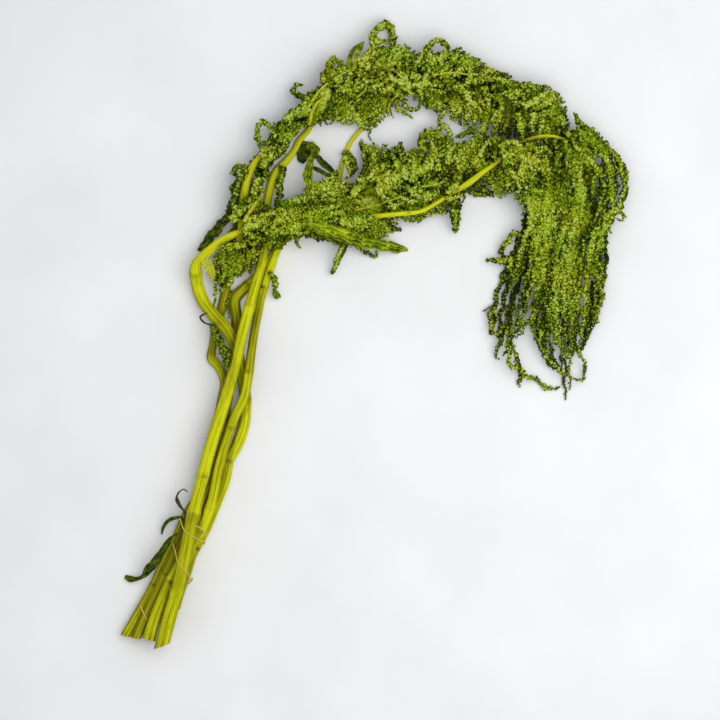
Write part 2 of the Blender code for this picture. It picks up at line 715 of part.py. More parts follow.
def seat(piece, bunch, upward=False, riders=()):
    """Moves a light piece, and what rides on it, up or down until it lies against its neighbour."""
    push = Vector((0, 0, 1 if upward else -1))
    below, others = skins([other for other in bunch.objects if other not in (piece, *riders)])
    own_points, own = skins([piece])
    graph = bpy.context.evaluated_depsgraph_get()
    shape = bmesh.new()
    shape.from_mesh(piece.evaluated_get(graph).to_mesh())
    bmesh.ops.subdivide_edges(shape, edges=shape.edges, cuts=SEAT_SPLITS, use_grid_fill=True)
    gaps = [others.ray_cast(vertex.co, push, SEAT_REACH * MM)[3] for vertex in shape.verts]
    shape.free()
    gaps += [own.ray_cast(point, -push, SEAT_REACH * MM)[3] for point in below]
    move = min(gap for gap in gaps if gap is not None) - SEAT * MM
    if not upward:
        move = min(move, min(point.z for point in own_points) - TABLE_CLEAR * MM)
    for moved in (piece, *riders):
        moved.data.transform(Matrix.Translation(push * move))


def clear_scene():
    """Removes what a new file holds."""
    for existing in list(bpy.data.objects):
        bpy.data.objects.remove(existing)


def main():
    clear_scene()
    bunch = collection("amaranth_seed_head")
    cutters = collection("cutters")
    outlines = {
        "stalk": profile("stalk_outline", 2 * STALK_RIBS, STALK_GROOVE, cutters),
        "core": profile("core_outline", CORE_SIDES, 1.0, cutters),
        "strand": profile("strand_outline", STRAND_SIDES, 1.0, cutters),
        "thread": profile("thread_outline", 4, 1.0, cutters),
    }
    lime = material("lime stem", STALK_LIME, 0.55)
    olive = material("olive stem", STALK_OLIVE, 0.55)
    leaf_green = material("dark dried leaf", LEAF_GREEN, 0.7)
    twig_green = material("shrivelled stalk", TWIG_GREEN, 0.8)
    tassel_green = material("tassel florets", HEAD_GREENS["left"], 0.85)
    straw = material("straw thread", STRAW, 0.6)

    stalks = {
        "left": Stalk("left", LEFT_STALK, sink=TABLE_SINK),
        "kinked": Stalk("kinked", KINKED_STALK),
        "arched": Stalk("arched", ARCHED_STALK),
        "right": Stalk("right", RIGHT_STALK),
        "main": Stalk("main", MAIN_STALK),
    }
    stalks["left"].lay(until=LEFT_STRETCH)
    stalks["kinked"].lay()
    stalks["arched"].lay(until=ARCHED_STRETCH)
    stalks["right"].lay()
    stalks["main"].lay()
    for name in ("leaf_left", "leaf_low", "leaf_dark"):
        build_leaf(name, *LEAVES[name], leaf_green, bunch)

    right = Head("right", RIGHT_CORE, seed=5, stem="right")
    right.fringe(8, 2, (15, 40), (22, 32), (20, 50), start=0.5, end=0.95, sides=(1,))
    right.sheaf(RIGHT_SHEAF, (0.97, 0.02, 0.5, 0.81, 0.18, 0.66, 0.34), short=0.12)
    outer = Head("outer", OUTER_CORE, seed=2)
    outer.fringe(16, 3, (35, 70), (28, 40), (10, 60))
    outer.fringe(4, 3, (20, 45), (38, 48), (10, 40), end=0.36, sides=(-1,))
    left = Head("left", LEFT_CORE, seed=1)
    left.fringe(3, 2, (25, 50), (20, 26), (20, 50), end=0.3, sides=(1,))
    left.fringe(11, 2, (25, 60), (24, 34), (20, 60), start=0.36)
    low = Head("low", LOW_CORE, seed=3)
    low.fringe(13, 3, (35, 70), (28, 40), (10, 60))
    inner = Head("inner", INNER_CORE, seed=4)
    inner.fringe(12, 3, (35, 70), (26, 40), (10, 60), end=0.78)
    inner.sheaf(INNER_SHEAF, (0.04, 0.94, 0.5, 0.27, 0.72), short=0.22)
    inner.lay(smooth(LONG_TRAIL), TRAIL_RADIUS, SHEAF_RING)
    inner.lay(smooth(SHORT_TRAIL), TRAIL_RADIUS, SHEAF_RING)
    for loop in OUTER_LOOPS:
        outer.lay(smooth(loop), LOOP_RADIUS, LOOP_RING)
    for loop in LEFT_LOOPS:
        left.lay(smooth(loop), LOOP_RADIUS, LOOP_RING)
    for loop in INNER_LOOPS:
        inner.lay(smooth(loop), THICK_LOOP_RADIUS)
    for strand in LOW_CLUMP:
        low.lay(smooth(strand))
    stalks["left"].lay()
    stalks["arched"].lay()
    outer.fringe(7, 6, (-20, 25), (40, 55), (-25, 35), end=0.9)
    left.fringe(4, 4, (-15, 20), (32, 42), (-20, 25), start=0.4)
    low.fringe(4, 5, (0, 25), (32, 45), (-5, 25), sides=(1,))
    inner.fringe(4, 5, (0, 25), (34, 50), (-5, 25), end=0.6, sides=(1,))

    for stalk in stalks.values():
        finish = olive if stalk.name in ("left", "kinked") else lime
        build_stalk(stalk, outlines["stalk"], finish, bunch, cutters)
    for head in (left, outer, low, inner, right):
        finish = material(head.name + " florets", HEAD_GREENS[head.name], 0.85)
        build_head(head, outlines, finish, bunch)
    build_tie(list(stalks.values()), outlines["thread"], straw, bunch)
    for name in ("leaf_base_long", "leaf_base_curled", "leaf_curled", "leaf_fork", "leaf_top"):
        build_leaf(name, *LEAVES[name], leaf_green, bunch)
    tassel = (TASSEL_RADIUS, TASSEL_RING, STRAND_BEND, outlines["strand"], tassel_green, bunch)
    build_spray("side_tassel", SIDE_TASSEL, *tassel)
    build_spray("under_tassel", UNDER_TASSEL, *tassel)
    twig = (TWIG_RADIUS, TWIG_RING, TWIG_BEND, outlines["thread"], twig_green, bunch)
    build_spray("lower_twig", LOWER_TWIG, *twig)
    build_spray("upper_twig", UPPER_TWIG, *twig)
    seat(bunch.objects["leaf_left"], bunch, upward=True)
    seat(bunch.objects["leaf_low"], bunch, upward=True, riders=[bunch.objects["leaf_dark"]])
    for name in ("leaf_dark", "leaf_top", "leaf_curled", "leaf_fork", "leaf_base_long",
                 "leaf_base_curled", "side_tassel", "under_tassel", "upper_twig", "lower_twig"):
        seat(bunch.objects[name], bunch)

    table = box_cutter("table", TABLE_LOW, TABLE_HIGH, cutters)
    for piece in bunch.objects:
        cut(piece, table, "Flat underside")


main()
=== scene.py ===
"""Dressed model of a tied bunch of dried hanging amaranth, dyed lime, lying flat on a table.

Routes, outlines and radii are in millimetres in the frame of the CAD model: +X to the right, +Y
up the bunch and +Z up from the table. They become metres only where a mesh is made. The stems,
leaves and thread stay where the CAD ones are, and the heads are laid as thin strands of florets
that take the lowest height at which they rest on what already lies there.
"""

import logging
import math
import random
from collections.abc import Callable, Sequence
from dataclasses import dataclass, field
from enum import Enum
from typing import Any

import bmesh
import bpy
import numpy as np
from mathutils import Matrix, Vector
from mathutils.bvhtree import BVHTree


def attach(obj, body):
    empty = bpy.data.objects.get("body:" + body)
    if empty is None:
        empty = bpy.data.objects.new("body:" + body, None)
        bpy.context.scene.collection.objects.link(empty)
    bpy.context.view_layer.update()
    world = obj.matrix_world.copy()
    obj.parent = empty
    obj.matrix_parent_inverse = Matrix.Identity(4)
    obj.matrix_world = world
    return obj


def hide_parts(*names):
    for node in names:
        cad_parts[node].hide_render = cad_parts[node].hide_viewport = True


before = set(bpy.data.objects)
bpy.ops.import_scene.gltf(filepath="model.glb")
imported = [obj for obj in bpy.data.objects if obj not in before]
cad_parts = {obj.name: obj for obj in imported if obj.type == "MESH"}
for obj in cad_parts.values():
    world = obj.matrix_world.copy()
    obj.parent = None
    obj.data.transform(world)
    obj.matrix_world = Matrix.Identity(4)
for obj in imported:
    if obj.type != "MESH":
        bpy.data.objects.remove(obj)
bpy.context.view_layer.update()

LOG = logging.getLogger("amaranth")
MM = 0.001
# height in metres from which rays are cast at the CAD nodes
SKY = 0.2
# spacing in millimetres of the rows of a route
STEP = 1.5
# height in millimetres that nothing reaches
OPEN = 1000.0
TURN = 2 * math.pi
GOLDEN = 2.39996

Rows = np.ndarray
Piece = bpy.types.Object
Material = bpy.types.Material
Tree = bpy.types.NodeTree
Socket = bpy.types.NodeSocket
Place = tuple[float, float]
Route = Sequence[tuple[float, ...]]


# Lines and heights

def linear(code: str) -> tuple[float, float, float, float]:
    """Linear colour of an sRGB hex value.

    Args:
        code: The colour as a # and six hex digits.

    Returns:
        Red, green, blue and a full alpha.
    """
    parts = [int(code[k:k + 2], 16) / 255 for k in (1, 3, 5)]
    red, green, blue = (
        part / 12.92 if part <= 0.04045 else ((part + 0.055) / 1.055) ** 2.4 for part in parts)
    return red, green, blue, 1.0


def ease(t: Rows) -> Rows:
    """A smooth step from 0 to 1."""
    t = np.clip(t, 0.0, 1.0)
    return t * t * (3 - 2 * t)


def distance_along(rows: Rows) -> Rows:
    """Distance from the first row to each row, over the first two columns."""
    runs = np.linalg.norm(np.diff(rows[:, :2], axis=0), axis=1)
    return np.concatenate([[0.0], np.cumsum(runs)])


def smooth(points: Route, spacing: float = STEP) -> Rows:
    """Rows at even spacing along a smooth curve through points.

    Args:
        points: Knots of any width whose first two columns are x and y.
        spacing: Distance between rows.

    Returns:
        The rows, as wide as the knots.
    """
    knots = np.asarray(points, float)
    along = distance_along(knots)
    slope = np.gradient(knots, along, axis=0)
    at = np.linspace(0.0, along[-1], max(2, round(along[-1] / spacing) + 1))
    left = np.clip(np.searchsorted(along, at, side="right") - 1, 0, len(along) - 2)
    run = (along[left + 1] - along[left])[:, None]
    t = (at - along[left])[:, None] / run
    return (
        (1 + 2 * t) * (1 - t) ** 2 * knots[left]
        + t * (1 - t) ** 2 * run * slope[left]
        + t ** 2 * (3 - 2 * t) * knots[left + 1]
        + t ** 2 * (t - 1) * run * slope[left + 1]
    )


def read_at(at: Rows, along: Rows, rows: Rows) -> Rows:
    """Rows read off between others.

    Args:
        at: Distances at which to read.
        along: Distance of each of the rows.
        rows: What is read, of any width.

    Returns:
        One row for each distance.
    """
    return np.column_stack([np.interp(at, along, column) for column in rows.T])


def spread(values: Sequence[float], share: Rows) -> Rows:
    """Evenly spaced values, read off at shares of their whole run."""
    return np.interp(share, np.linspace(0, 1, len(values)), values)


def balls(line: Rows, radius: float) -> Rows:
    """The x and y of a line with one radius beside them."""
    return np.column_stack([line[:, :2], np.full(len(line), radius)])


def bump_at(along: Rows, place: float, run: float) -> Rows:
    """A rounded bump of height 1 at a place along something."""
    return np.exp(-(((along - place) / run) ** 2))


def bent(need: Rows, along: Rows, radius: float) -> Rows:
    """The lowest heights that clear every need and bend no tighter than a radius.

    Args:
        need: Height that each row has to reach.
        along: Distance of each row from the first.
        radius: Tightest bend up or down.

    Returns:
        Height of each row.
    """
    fall = (along[:, None] - along[None, :]) ** 2 / (2 * radius)
    return (need[None, :] - fall).max(axis=1)


def ripple(at: Rows, seed: int) -> Rows:
    """A gentle uneven wave between about -1 and 1.

    Args:
        at: Where to read it, in turns of its longest wave.
        seed: Picks the phases.

    Returns:
        The wave's value at each place.
    """
    draw = random.Random(seed)
    waves = [(1.0, 0.5), (2.3, 0.3), (5.1, 0.2)]
    return sum(size * np.sin(TURN * (rate * at + draw.random())) for rate, size in waves)


def headings(path: Rows) -> tuple[Rows, Rows, Rows]:
    """Forward, sideways and upward directions at each row of a path.

    Args:
        path: Rows of x, y and z, and anything after.

    Returns:
        Three arrays of unit vectors.
    """
    forward = np.gradient(path[:, :3], axis=0)
    forward /= np.linalg.norm(forward, axis=1)[:, None]
    side = np.column_stack([-forward[:, 1], forward[:, 0], np.zeros(len(forward))])
    side /= np.linalg.norm(side, axis=1)[:, None] + 1e-9
    return forward, side, np.cross(forward, side)


# Working in the scene

def deselect() -> None:
    bpy.ops.object.select_all(action="DESELECT")


def take_name(name: str) -> Piece:
    """Names the object that an operator has just made.

    Args:
        name: Its new name, and its data's.

    Returns:
        The object.
    """
    piece = bpy.context.object
    piece.name = name
    piece.data.name = name
    return piece


def places_of(piece: Piece) -> Rows:
    """The places of a piece's vertices, as rows.

    Args:
        piece: The mesh object.

    Returns:
        Rows of x, y and z.
    """
    found = np.empty(len(piece.data.vertices) * 3)
    piece.data.vertices.foreach_get("co", found)
    return found.reshape(-1, 3)


def move_to(piece: Piece, places: Rows) -> None:
    """Puts a piece's vertices at these places."""
    piece.data.vertices.foreach_set("co", places.astype(np.float32).ravel())
    piece.data.update()


def keep_value(piece: Piece, name: str, values: Rows) -> None:
    """Stores a number or a vector at each vertex, for a material to read.

    Args:
        piece: The mesh object.
        name: Name of the attribute.
        values: One number or one row of three for each vertex.
    """
    kind, part = ("FLOAT", "value") if values.ndim == 1 else ("FLOAT_VECTOR", "vector")
    layer = piece.data.attributes.new(name, kind, "POINT")
    layer.data.foreach_set(part, values.astype(np.float32).ravel())


def hand_over(piece: Piece, node: str = "") -> None:
    """Fixes a finished piece to the bunch and logs it.

    Args:
        piece: The mesh object.
        node: The CAD node that it stands for, if any.
    """
    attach(piece, "root")
    if node:
        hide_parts(node)
    LOG.info("%s: %d faces", piece.name, len(piece.data.polygons))


class Part(Enum):
    """Parts of a mesh that can be picked in edit mode."""

    CORNERS = "verts"
    EDGES = "edges"
    FACES = "faces"


def pick(piece: Piece, part: Part, wanted: Callable[[Any], bool]) -> None:
    """Selects the parts of a mesh in edit mode that pass a test.

    Args:
        piece: The object in edit mode.
        part: Which kind of part.
        wanted: Takes one and says whether to select it.
    """
    bpy.ops.mesh.select_all(action="DESELECT")
    shape = bmesh.from_edit_mesh(piece.data)
    for found in getattr(shape, part.value):
        found.select_set(wanted(found))
    if part is Part.CORNERS:
        shape.select_flush(True)
    bmesh.update_edit_mesh(piece.data)


def add_node(
    tree: Tree,
    kind: str,
    inputs: dict[str | int, Any] | None = None,
    stops: Sequence[tuple[float, str]] = (),
    **settings: Any,
) -> bpy.types.Node:
    """Adds a node with its settings and links.

    Args:
        tree: The material's node tree.
        kind: The node's type, without ShaderNode before it.
        inputs: Socket name or number, to a value or to the output that feeds it.
        stops: Position and hex colour of each stop of a colour ramp.
        **settings: Properties of the node itself.

    Returns:
        The new node.
    """
    node = tree.nodes.new("ShaderNode" + kind)
    for name, value in settings.items():
        setattr(node, name, value)
    for name, value in (inputs or {}).items():
        if isinstance(value, Socket):
            tree.links.new(value, node.inputs[name])
        else:
            node.inputs[name].default_value = value
    if stops:
        steps = node.color_ramp.elements
        while len(steps) < len(stops):
            steps.new(1.0)
        for step, (position, code) in zip(steps, stops):
            step.position = position
            step.color = linear(code)
    return node


def noise(
    tree: Tree, where: Socket, size: float, detail: float, roughness: float = 0.5,
) -> bpy.types.Node:
    """Adds a noise with a grain of a given size.

    Args:
        tree: The material's node tree.
        where: The coordinates.
        size: Size of the grain in the units of the coordinates.
        detail: How many finer layers it has.
        roughness: How strong the finer layers are.

    Returns:
        The noise node.
    """
    return add_node(tree, "TexNoise", {
        "Vector": where, "Scale": 1 / size, "Detail": detail, "Roughness": roughness})


def weigh(tree: Tree, value: Socket, weight: float, base: Socket) -> Socket:
    """Adds a value times its weight to a base."""
    return add_node(tree, "Math", {0: value, 1: weight, 2: base},
                    operation="MULTIPLY_ADD").outputs[0]


def colour(tree: Tree, value: Socket, stops: Sequence[tuple[float, str]]) -> Socket:
    """Turns a value into a colour by a ramp of hex stops."""
    return add_node(tree, "ValToRGB", {"Fac": value}, stops=stops).outputs["Color"]


def roughen(
    tree: Tree, shader: bpy.types.Node, height: Socket, strength: float, depth_mm: float,
) -> None:
    """Gives a shader fine relief.

    Args:
        tree: The material's node tree.
        shader: Its Principled shader.
        height: The relief.
        strength: How much of it shows.
        depth_mm: Its depth.
    """
    relief = add_node(tree, "Bump", {
        "Height": height, "Strength": strength, "Distance": depth_mm * MM})
    tree.links.new(relief.outputs["Normal"], shader.inputs["Normal"])


def new_material(name: str) -> tuple[Material, Tree, bpy.types.Node]:
    """A material with its node tree and its Principled shader.

    Args:
        name: What it is made of.

    Returns:
        The material, the tree and the shader.
    """
    made = bpy.data.materials.new(name)
    made.use_nodes = True
    return made, made.node_tree, made.node_tree.nodes["Principled BSDF"]


# Finishes

@dataclass(frozen=True)
class StemSkin:
    """Dyed and dried amaranth stem: fluted, with painted light on the ridges, painted shade in the
    grooves, and long streaks.
    """

    name: str
    # the groove and shade colours are reached in the grooves, as painted shade, the ridge colour on
    # the ridge tops, as painted light
    groove: str = "#463A00"
    shade: str = "#807C00"
    face: str = "#AEB002"
    ridge: str = "#D2D60E"
    scar: str = "#36260A"
    streak_mm: float = 1.4
    fibre_mm: float = 0.35
    painted_ridge_light_share: float = 0.42
    streak_share: float = 0.75
    fibre_share: float = 0.22

    def make(self) -> Material:
        """Builds the material. Streaks follow the stem through the fibre attribute.

        Returns:
            The material.
        """
        made, tree, shader = new_material(self.name)
        fibre, ridge, tone, scar = (
            add_node(tree, "Attribute", attribute_name=name)
            for name in ("fibre", "ridge", "tone", "scar"))
        streak = noise(tree, fibre.outputs["Vector"], self.streak_mm, 3.0, 0.6).outputs["Fac"]
        thread = noise(tree, fibre.outputs["Vector"], self.fibre_mm, 2.0).outputs["Fac"]
        # ridges lighter and grooves darker, as painted light and shade of the flutes
        lit = weigh(tree, ridge.outputs["Fac"], self.painted_ridge_light_share, tone.outputs["Fac"])
        streaked = weigh(tree, streak, self.streak_share, lit)
        dyed = colour(tree, weigh(tree, thread, self.fibre_share, streaked), (
            (0.36, self.groove), (0.6, self.shade), (0.86, self.face), (1.0, self.ridge)))
        blot = add_node(tree, "Math", {
            0: scar.outputs["Fac"], 1: thread}, operation="MULTIPLY", use_clamp=True)
        deep = add_node(tree, "Math", {
            0: blot.outputs[0], 1: 2.0}, operation="MULTIPLY", use_clamp=True)
        mixed = add_node(tree, "Mix", {
            "Factor": deep.outputs[0], 6: dyed, 7: linear(self.scar)}, data_type="RGBA")
        tree.links.new(mixed.outputs[2], shader.inputs["Base Color"])
        rough = add_node(tree, "MapRange", {
            "Value": streak, "To Min": 0.5, "To Max": 0.75})
        tree.links.new(rough.outputs[0], shader.inputs["Roughness"])
        roughen(tree, shader, thread, 0.35, 0.3)
        shader.inputs["Specular IOR Level"].default_value = 0.1
        return made


@dataclass(frozen=True)
class FloretPaper:
    """Dyed dry bracts of the florets: matt and papery, with painted shade at the base and painted
    light at the tip.
    """

    name: str
    # the two darkest colours serve painted shade in hollows and low layers, the two lightest
    # painted light on lit tips
    painted_hollow_shade: str = "#222901"
    deep: str = "#3E4C02"
    body: str = "#808F06"
    tip: str = "#A4B312"
    painted_tip_highlight: str = "#C4CE58"
    speck_mm: float = 1.3
    speck_share: float = 0.22
    patch_mm: float = 26.0
    patch_share: float = 0.7
    mean_share: float = 0.46

    def make(self) -> Material:
        """Builds the material. The tint attribute is 0 at a strand's axis and 1 at bright tips, and
        besides each strand's own tone it holds painted light and shade.

        Returns:
            The material.
        """
        made, tree, shader = new_material(self.name)
        tint = add_node(tree, "Attribute", attribute_name="tint")
        place = add_node(tree, "TexCoord").outputs["Object"]
        speck = noise(tree, place, self.speck_mm * MM, 0.0).outputs["Fac"]
        patch = noise(tree, place, self.patch_mm * MM, 2.0)
        specked = weigh(tree, speck, self.speck_share, tint.outputs["Fac"])
        patched = weigh(tree, patch.outputs["Fac"], self.patch_share, specked)
        level = add_node(tree, "Math", {
            0: patched, 1: self.mean_share}, operation="SUBTRACT", use_clamp=True)
        dry = colour(tree, level.outputs[0], (
            (0.0, self.painted_hollow_shade), (0.28, self.deep), (0.55, self.body), (0.8, self.tip),
            (1.0, self.painted_tip_highlight)))
        drift = add_node(tree, "MapRange", {
            "Value": patch.outputs["Color"], "From Min": 0.3, "From Max": 0.7, "To Min": 0.488,
            "To Max": 0.53})
        dyed = add_node(tree, "HueSaturation", {"Hue": drift.outputs[0], "Color": dry})
        tree.links.new(dyed.outputs["Color"], shader.inputs["Base Color"])
        roughen(tree, shader, speck, 0.4, 0.25)
        shader.inputs["Roughness"].default_value = 0.85
        shader.inputs["Specular IOR Level"].default_value = 0.12
        return made


@dataclass(frozen=True)
class DriedLeaf:
    """Shrivelled amaranth leaf: dull dark green, pleated along its length as it dried."""

    name: str
    dark: str = "#131B02"
    body: str = "#33430A"
    light: str = "#66790F"
    edge: str = "#8A9A1C"
    pleats: float = 5.0
    pleat_swing: float = 0.75
    blotch_mm: float = 5.0
    crumple_mm: float = 1.0

    def make(self) -> Material:
        """Builds the material. The UV map runs from foot to tip and from edge to edge.

        Returns:
            The material.
        """
        made, tree, shader = new_material(self.name)
        place = add_node(tree, "TexCoord")
        split = add_node(tree, "SeparateXYZ", {0: place.outputs["UV"]})
        blotch = noise(tree, place.outputs["Object"], self.blotch_mm * MM, 4.0).outputs["Fac"]
        crumple = noise(tree, place.outputs["Object"], self.crumple_mm * MM, 3.0).outputs["Fac"]
        # lighter and darker stripes along the blade are painted light and shade of its pleats
        beat = add_node(tree, "Math", {
            0: weigh(tree, blotch, self.pleat_swing, split.outputs["Y"]),
            1: self.pleats * TURN}, operation="MULTIPLY")
        pleat = add_node(tree, "Math", {0: beat.outputs[0]}, operation="SINE").outputs[0]
        level = weigh(tree, crumple, 0.3, weigh(tree, pleat, 0.13, blotch))
        dyed = colour(tree, level, (
            (0.42, self.dark), (0.62, self.body), (0.82, self.light), (0.95, self.edge)))
        tree.links.new(dyed, shader.inputs["Base Color"])
        roughen(tree, shader, weigh(tree, pleat, 0.5, crumple), 0.8, 0.5)
        shader.inputs["Roughness"].default_value = 0.8
        shader.inputs["Specular IOR Level"].default_value = 0.12
        return made


@dataclass(frozen=True)
class Fibre:
    """Plain dry plant fibre, such as straw thread, a shrivelled stalk or cut pith."""

    name: str
    dark: str
    light: str
    roughness: float
    grain_mm: float = 0.9

    def make(self) -> Material:
        """Builds the material: two colours mixed by a fine noise that also roughens the surface.

        Returns:
            The material.
        """
        made, tree, shader = new_material(self.name)
        place = add_node(tree, "TexCoord").outputs["Object"]
        grain = noise(tree, place, self.grain_mm * MM, 3.0).outputs["Fac"]
        dyed = colour(tree, grain, ((0.35, self.dark), (0.65, self.light)))
        tree.links.new(dyed, shader.inputs["Base Color"])
        roughen(tree, shader, grain, 0.4, 0.2)
        shader.inputs["Roughness"].default_value = self.roughness
        return made


@dataclass(frozen=True)
class Tabletop:
    """Smooth white-painted board with a very faint mottle, which gives a plain pale ground."""

    name: str = "white painted board"
    low: str = "#EEEEEC"
    high: str = "#F6F6F5"
    mottle_m: float = 1 / 9

    def make(self) -> Material:
        """Builds the material.

        Returns:
            The material.
        """
        made, tree, shader = new_material(self.name)
        place = add_node(tree, "TexCoord").outputs["Object"]
        mottle = noise(tree, place, self.mottle_m, 3.0).outputs["Fac"]
        paint = colour(tree, mottle, ((0.3, self.low), (0.7, self.high)))
        tree.links.new(paint, shader.inputs["Base Color"])
        shader.inputs["Roughness"].default_value = 0.55
        return made


# What the pieces lie on

@dataclass
class Gauge:
    """Reads how high a CAD node lies, by rays cast at it from above and below."""

    nodes: tuple[str, ...]
    tree: BVHTree = field(init=False)

    def __post_init__(self) -> None:
        """Gathers the faces of the nodes in one tree."""
        points: list[Vector] = []
        faces: list[list[int]] = []
        for name in self.nodes:
            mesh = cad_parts[name].data
            faces += [[k + len(points) for k in face.vertices] for face in mesh.polygons]
            points += [vertex.co.copy() for vertex in mesh.vertices]
        self.tree = BVHTree.FromPolygons(points, faces)

    def cast(self, x: float, y: float, down: bool) -> float | None:
        """Height at which a ray meets the nodes.

        Args:
            x: Place in millimetres.
            y: Place in millimetres.
            down: True for a ray from above.

        Returns:
            The height in millimetres, or None where the ray meets nothing.
        """
        start = Vector((x * MM, y * MM, SKY if down else -SKY))
        hit = self.tree.ray_cast(start, Vector((0, 0, -1 if down else 1)))[0]
        return None if hit is None else hit.z / MM

    def middles(self, line: Rows) -> Rows:
        """Heights halfway through the nodes along a line, carried on where they are missed.

        Args:
            line: Rows of x and y.

        Returns:
            Height of each row.
        """
        found = [(self.cast(x, y, True), self.cast(x, y, False)) for x, y in line[:, :2]]
        known = [k for k, pair in enumerate(found) if pair[0] is not None]
        heights = [(found[k][0] + found[k][1]) / 2 for k in known]
        return np.interp(np.arange(len(line)), known, heights)


@dataclass(frozen=True)
class Outline:
    """The edge of a mass of florets, as the corners of a closed line."""

    corners: tuple[Place, ...]
    margin: float = 1.5

    def holds(self, places: Rows) -> Rows:
        """Which of the places lie inside, by counting the sides that a ray crosses.

        Args:
            places: Rows of x and y.

        Returns:
            True for each that does.
        """
        x, y = places[:, 0], places[:, 1]
        inside = np.zeros(len(places), bool)
        for (x0, y0), (x1, y1) in zip(self.corners, self.corners[1:] + self.corners[:1]):
            crosses = (y0 > y) != (y1 > y)
            inside ^= crosses & (x < (x1 - x0) * (y - y0) / (y1 - y0 + 1e-9) + x0)
        return inside

    def well_inside(self, places: Rows) -> Rows:
        """Which of the places lie inside by the margin, to the four sides.

        Args:
            places: Rows of x and y.

        Returns:
            True for each that does.
        """
        inside = np.ones(len(places), bool)
        for dx, dy in ((1, 0), (-1, 0), (0, 1), (0, -1)):
            inside &= self.holds(places[:, :2] + self.margin * np.array([dx, dy]))
        return inside

    def clip(self, line: Rows) -> Rows:
        """The start of a line, up to where it comes closer to the edge than the margin.

        Args:
            line: Rows of x and y.

        Returns:
            The rows that are kept.
        """
        kept = self.well_inside(line)
        kept[:4] = True
        return line if kept.all() else line[: int(kept.argmin())]

    def spots(self, spacing: float = 2.5) -> Rows:
        """Evenly spaced places inside, away from the edge by the margin.

        Args:
            spacing: Distance between them.

        Returns:
            Rows of x and y.
        """
        corners = np.array(self.corners, float)
        low, high = corners.min(axis=0), corners.max(axis=0)
        x, y = np.meshgrid(np.arange(low[0], high[0], spacing), np.arange(low[1], high[1], spacing))
        places = np.column_stack([x.ravel(), y.ravel()])
        return places[self.well_inside(places)]


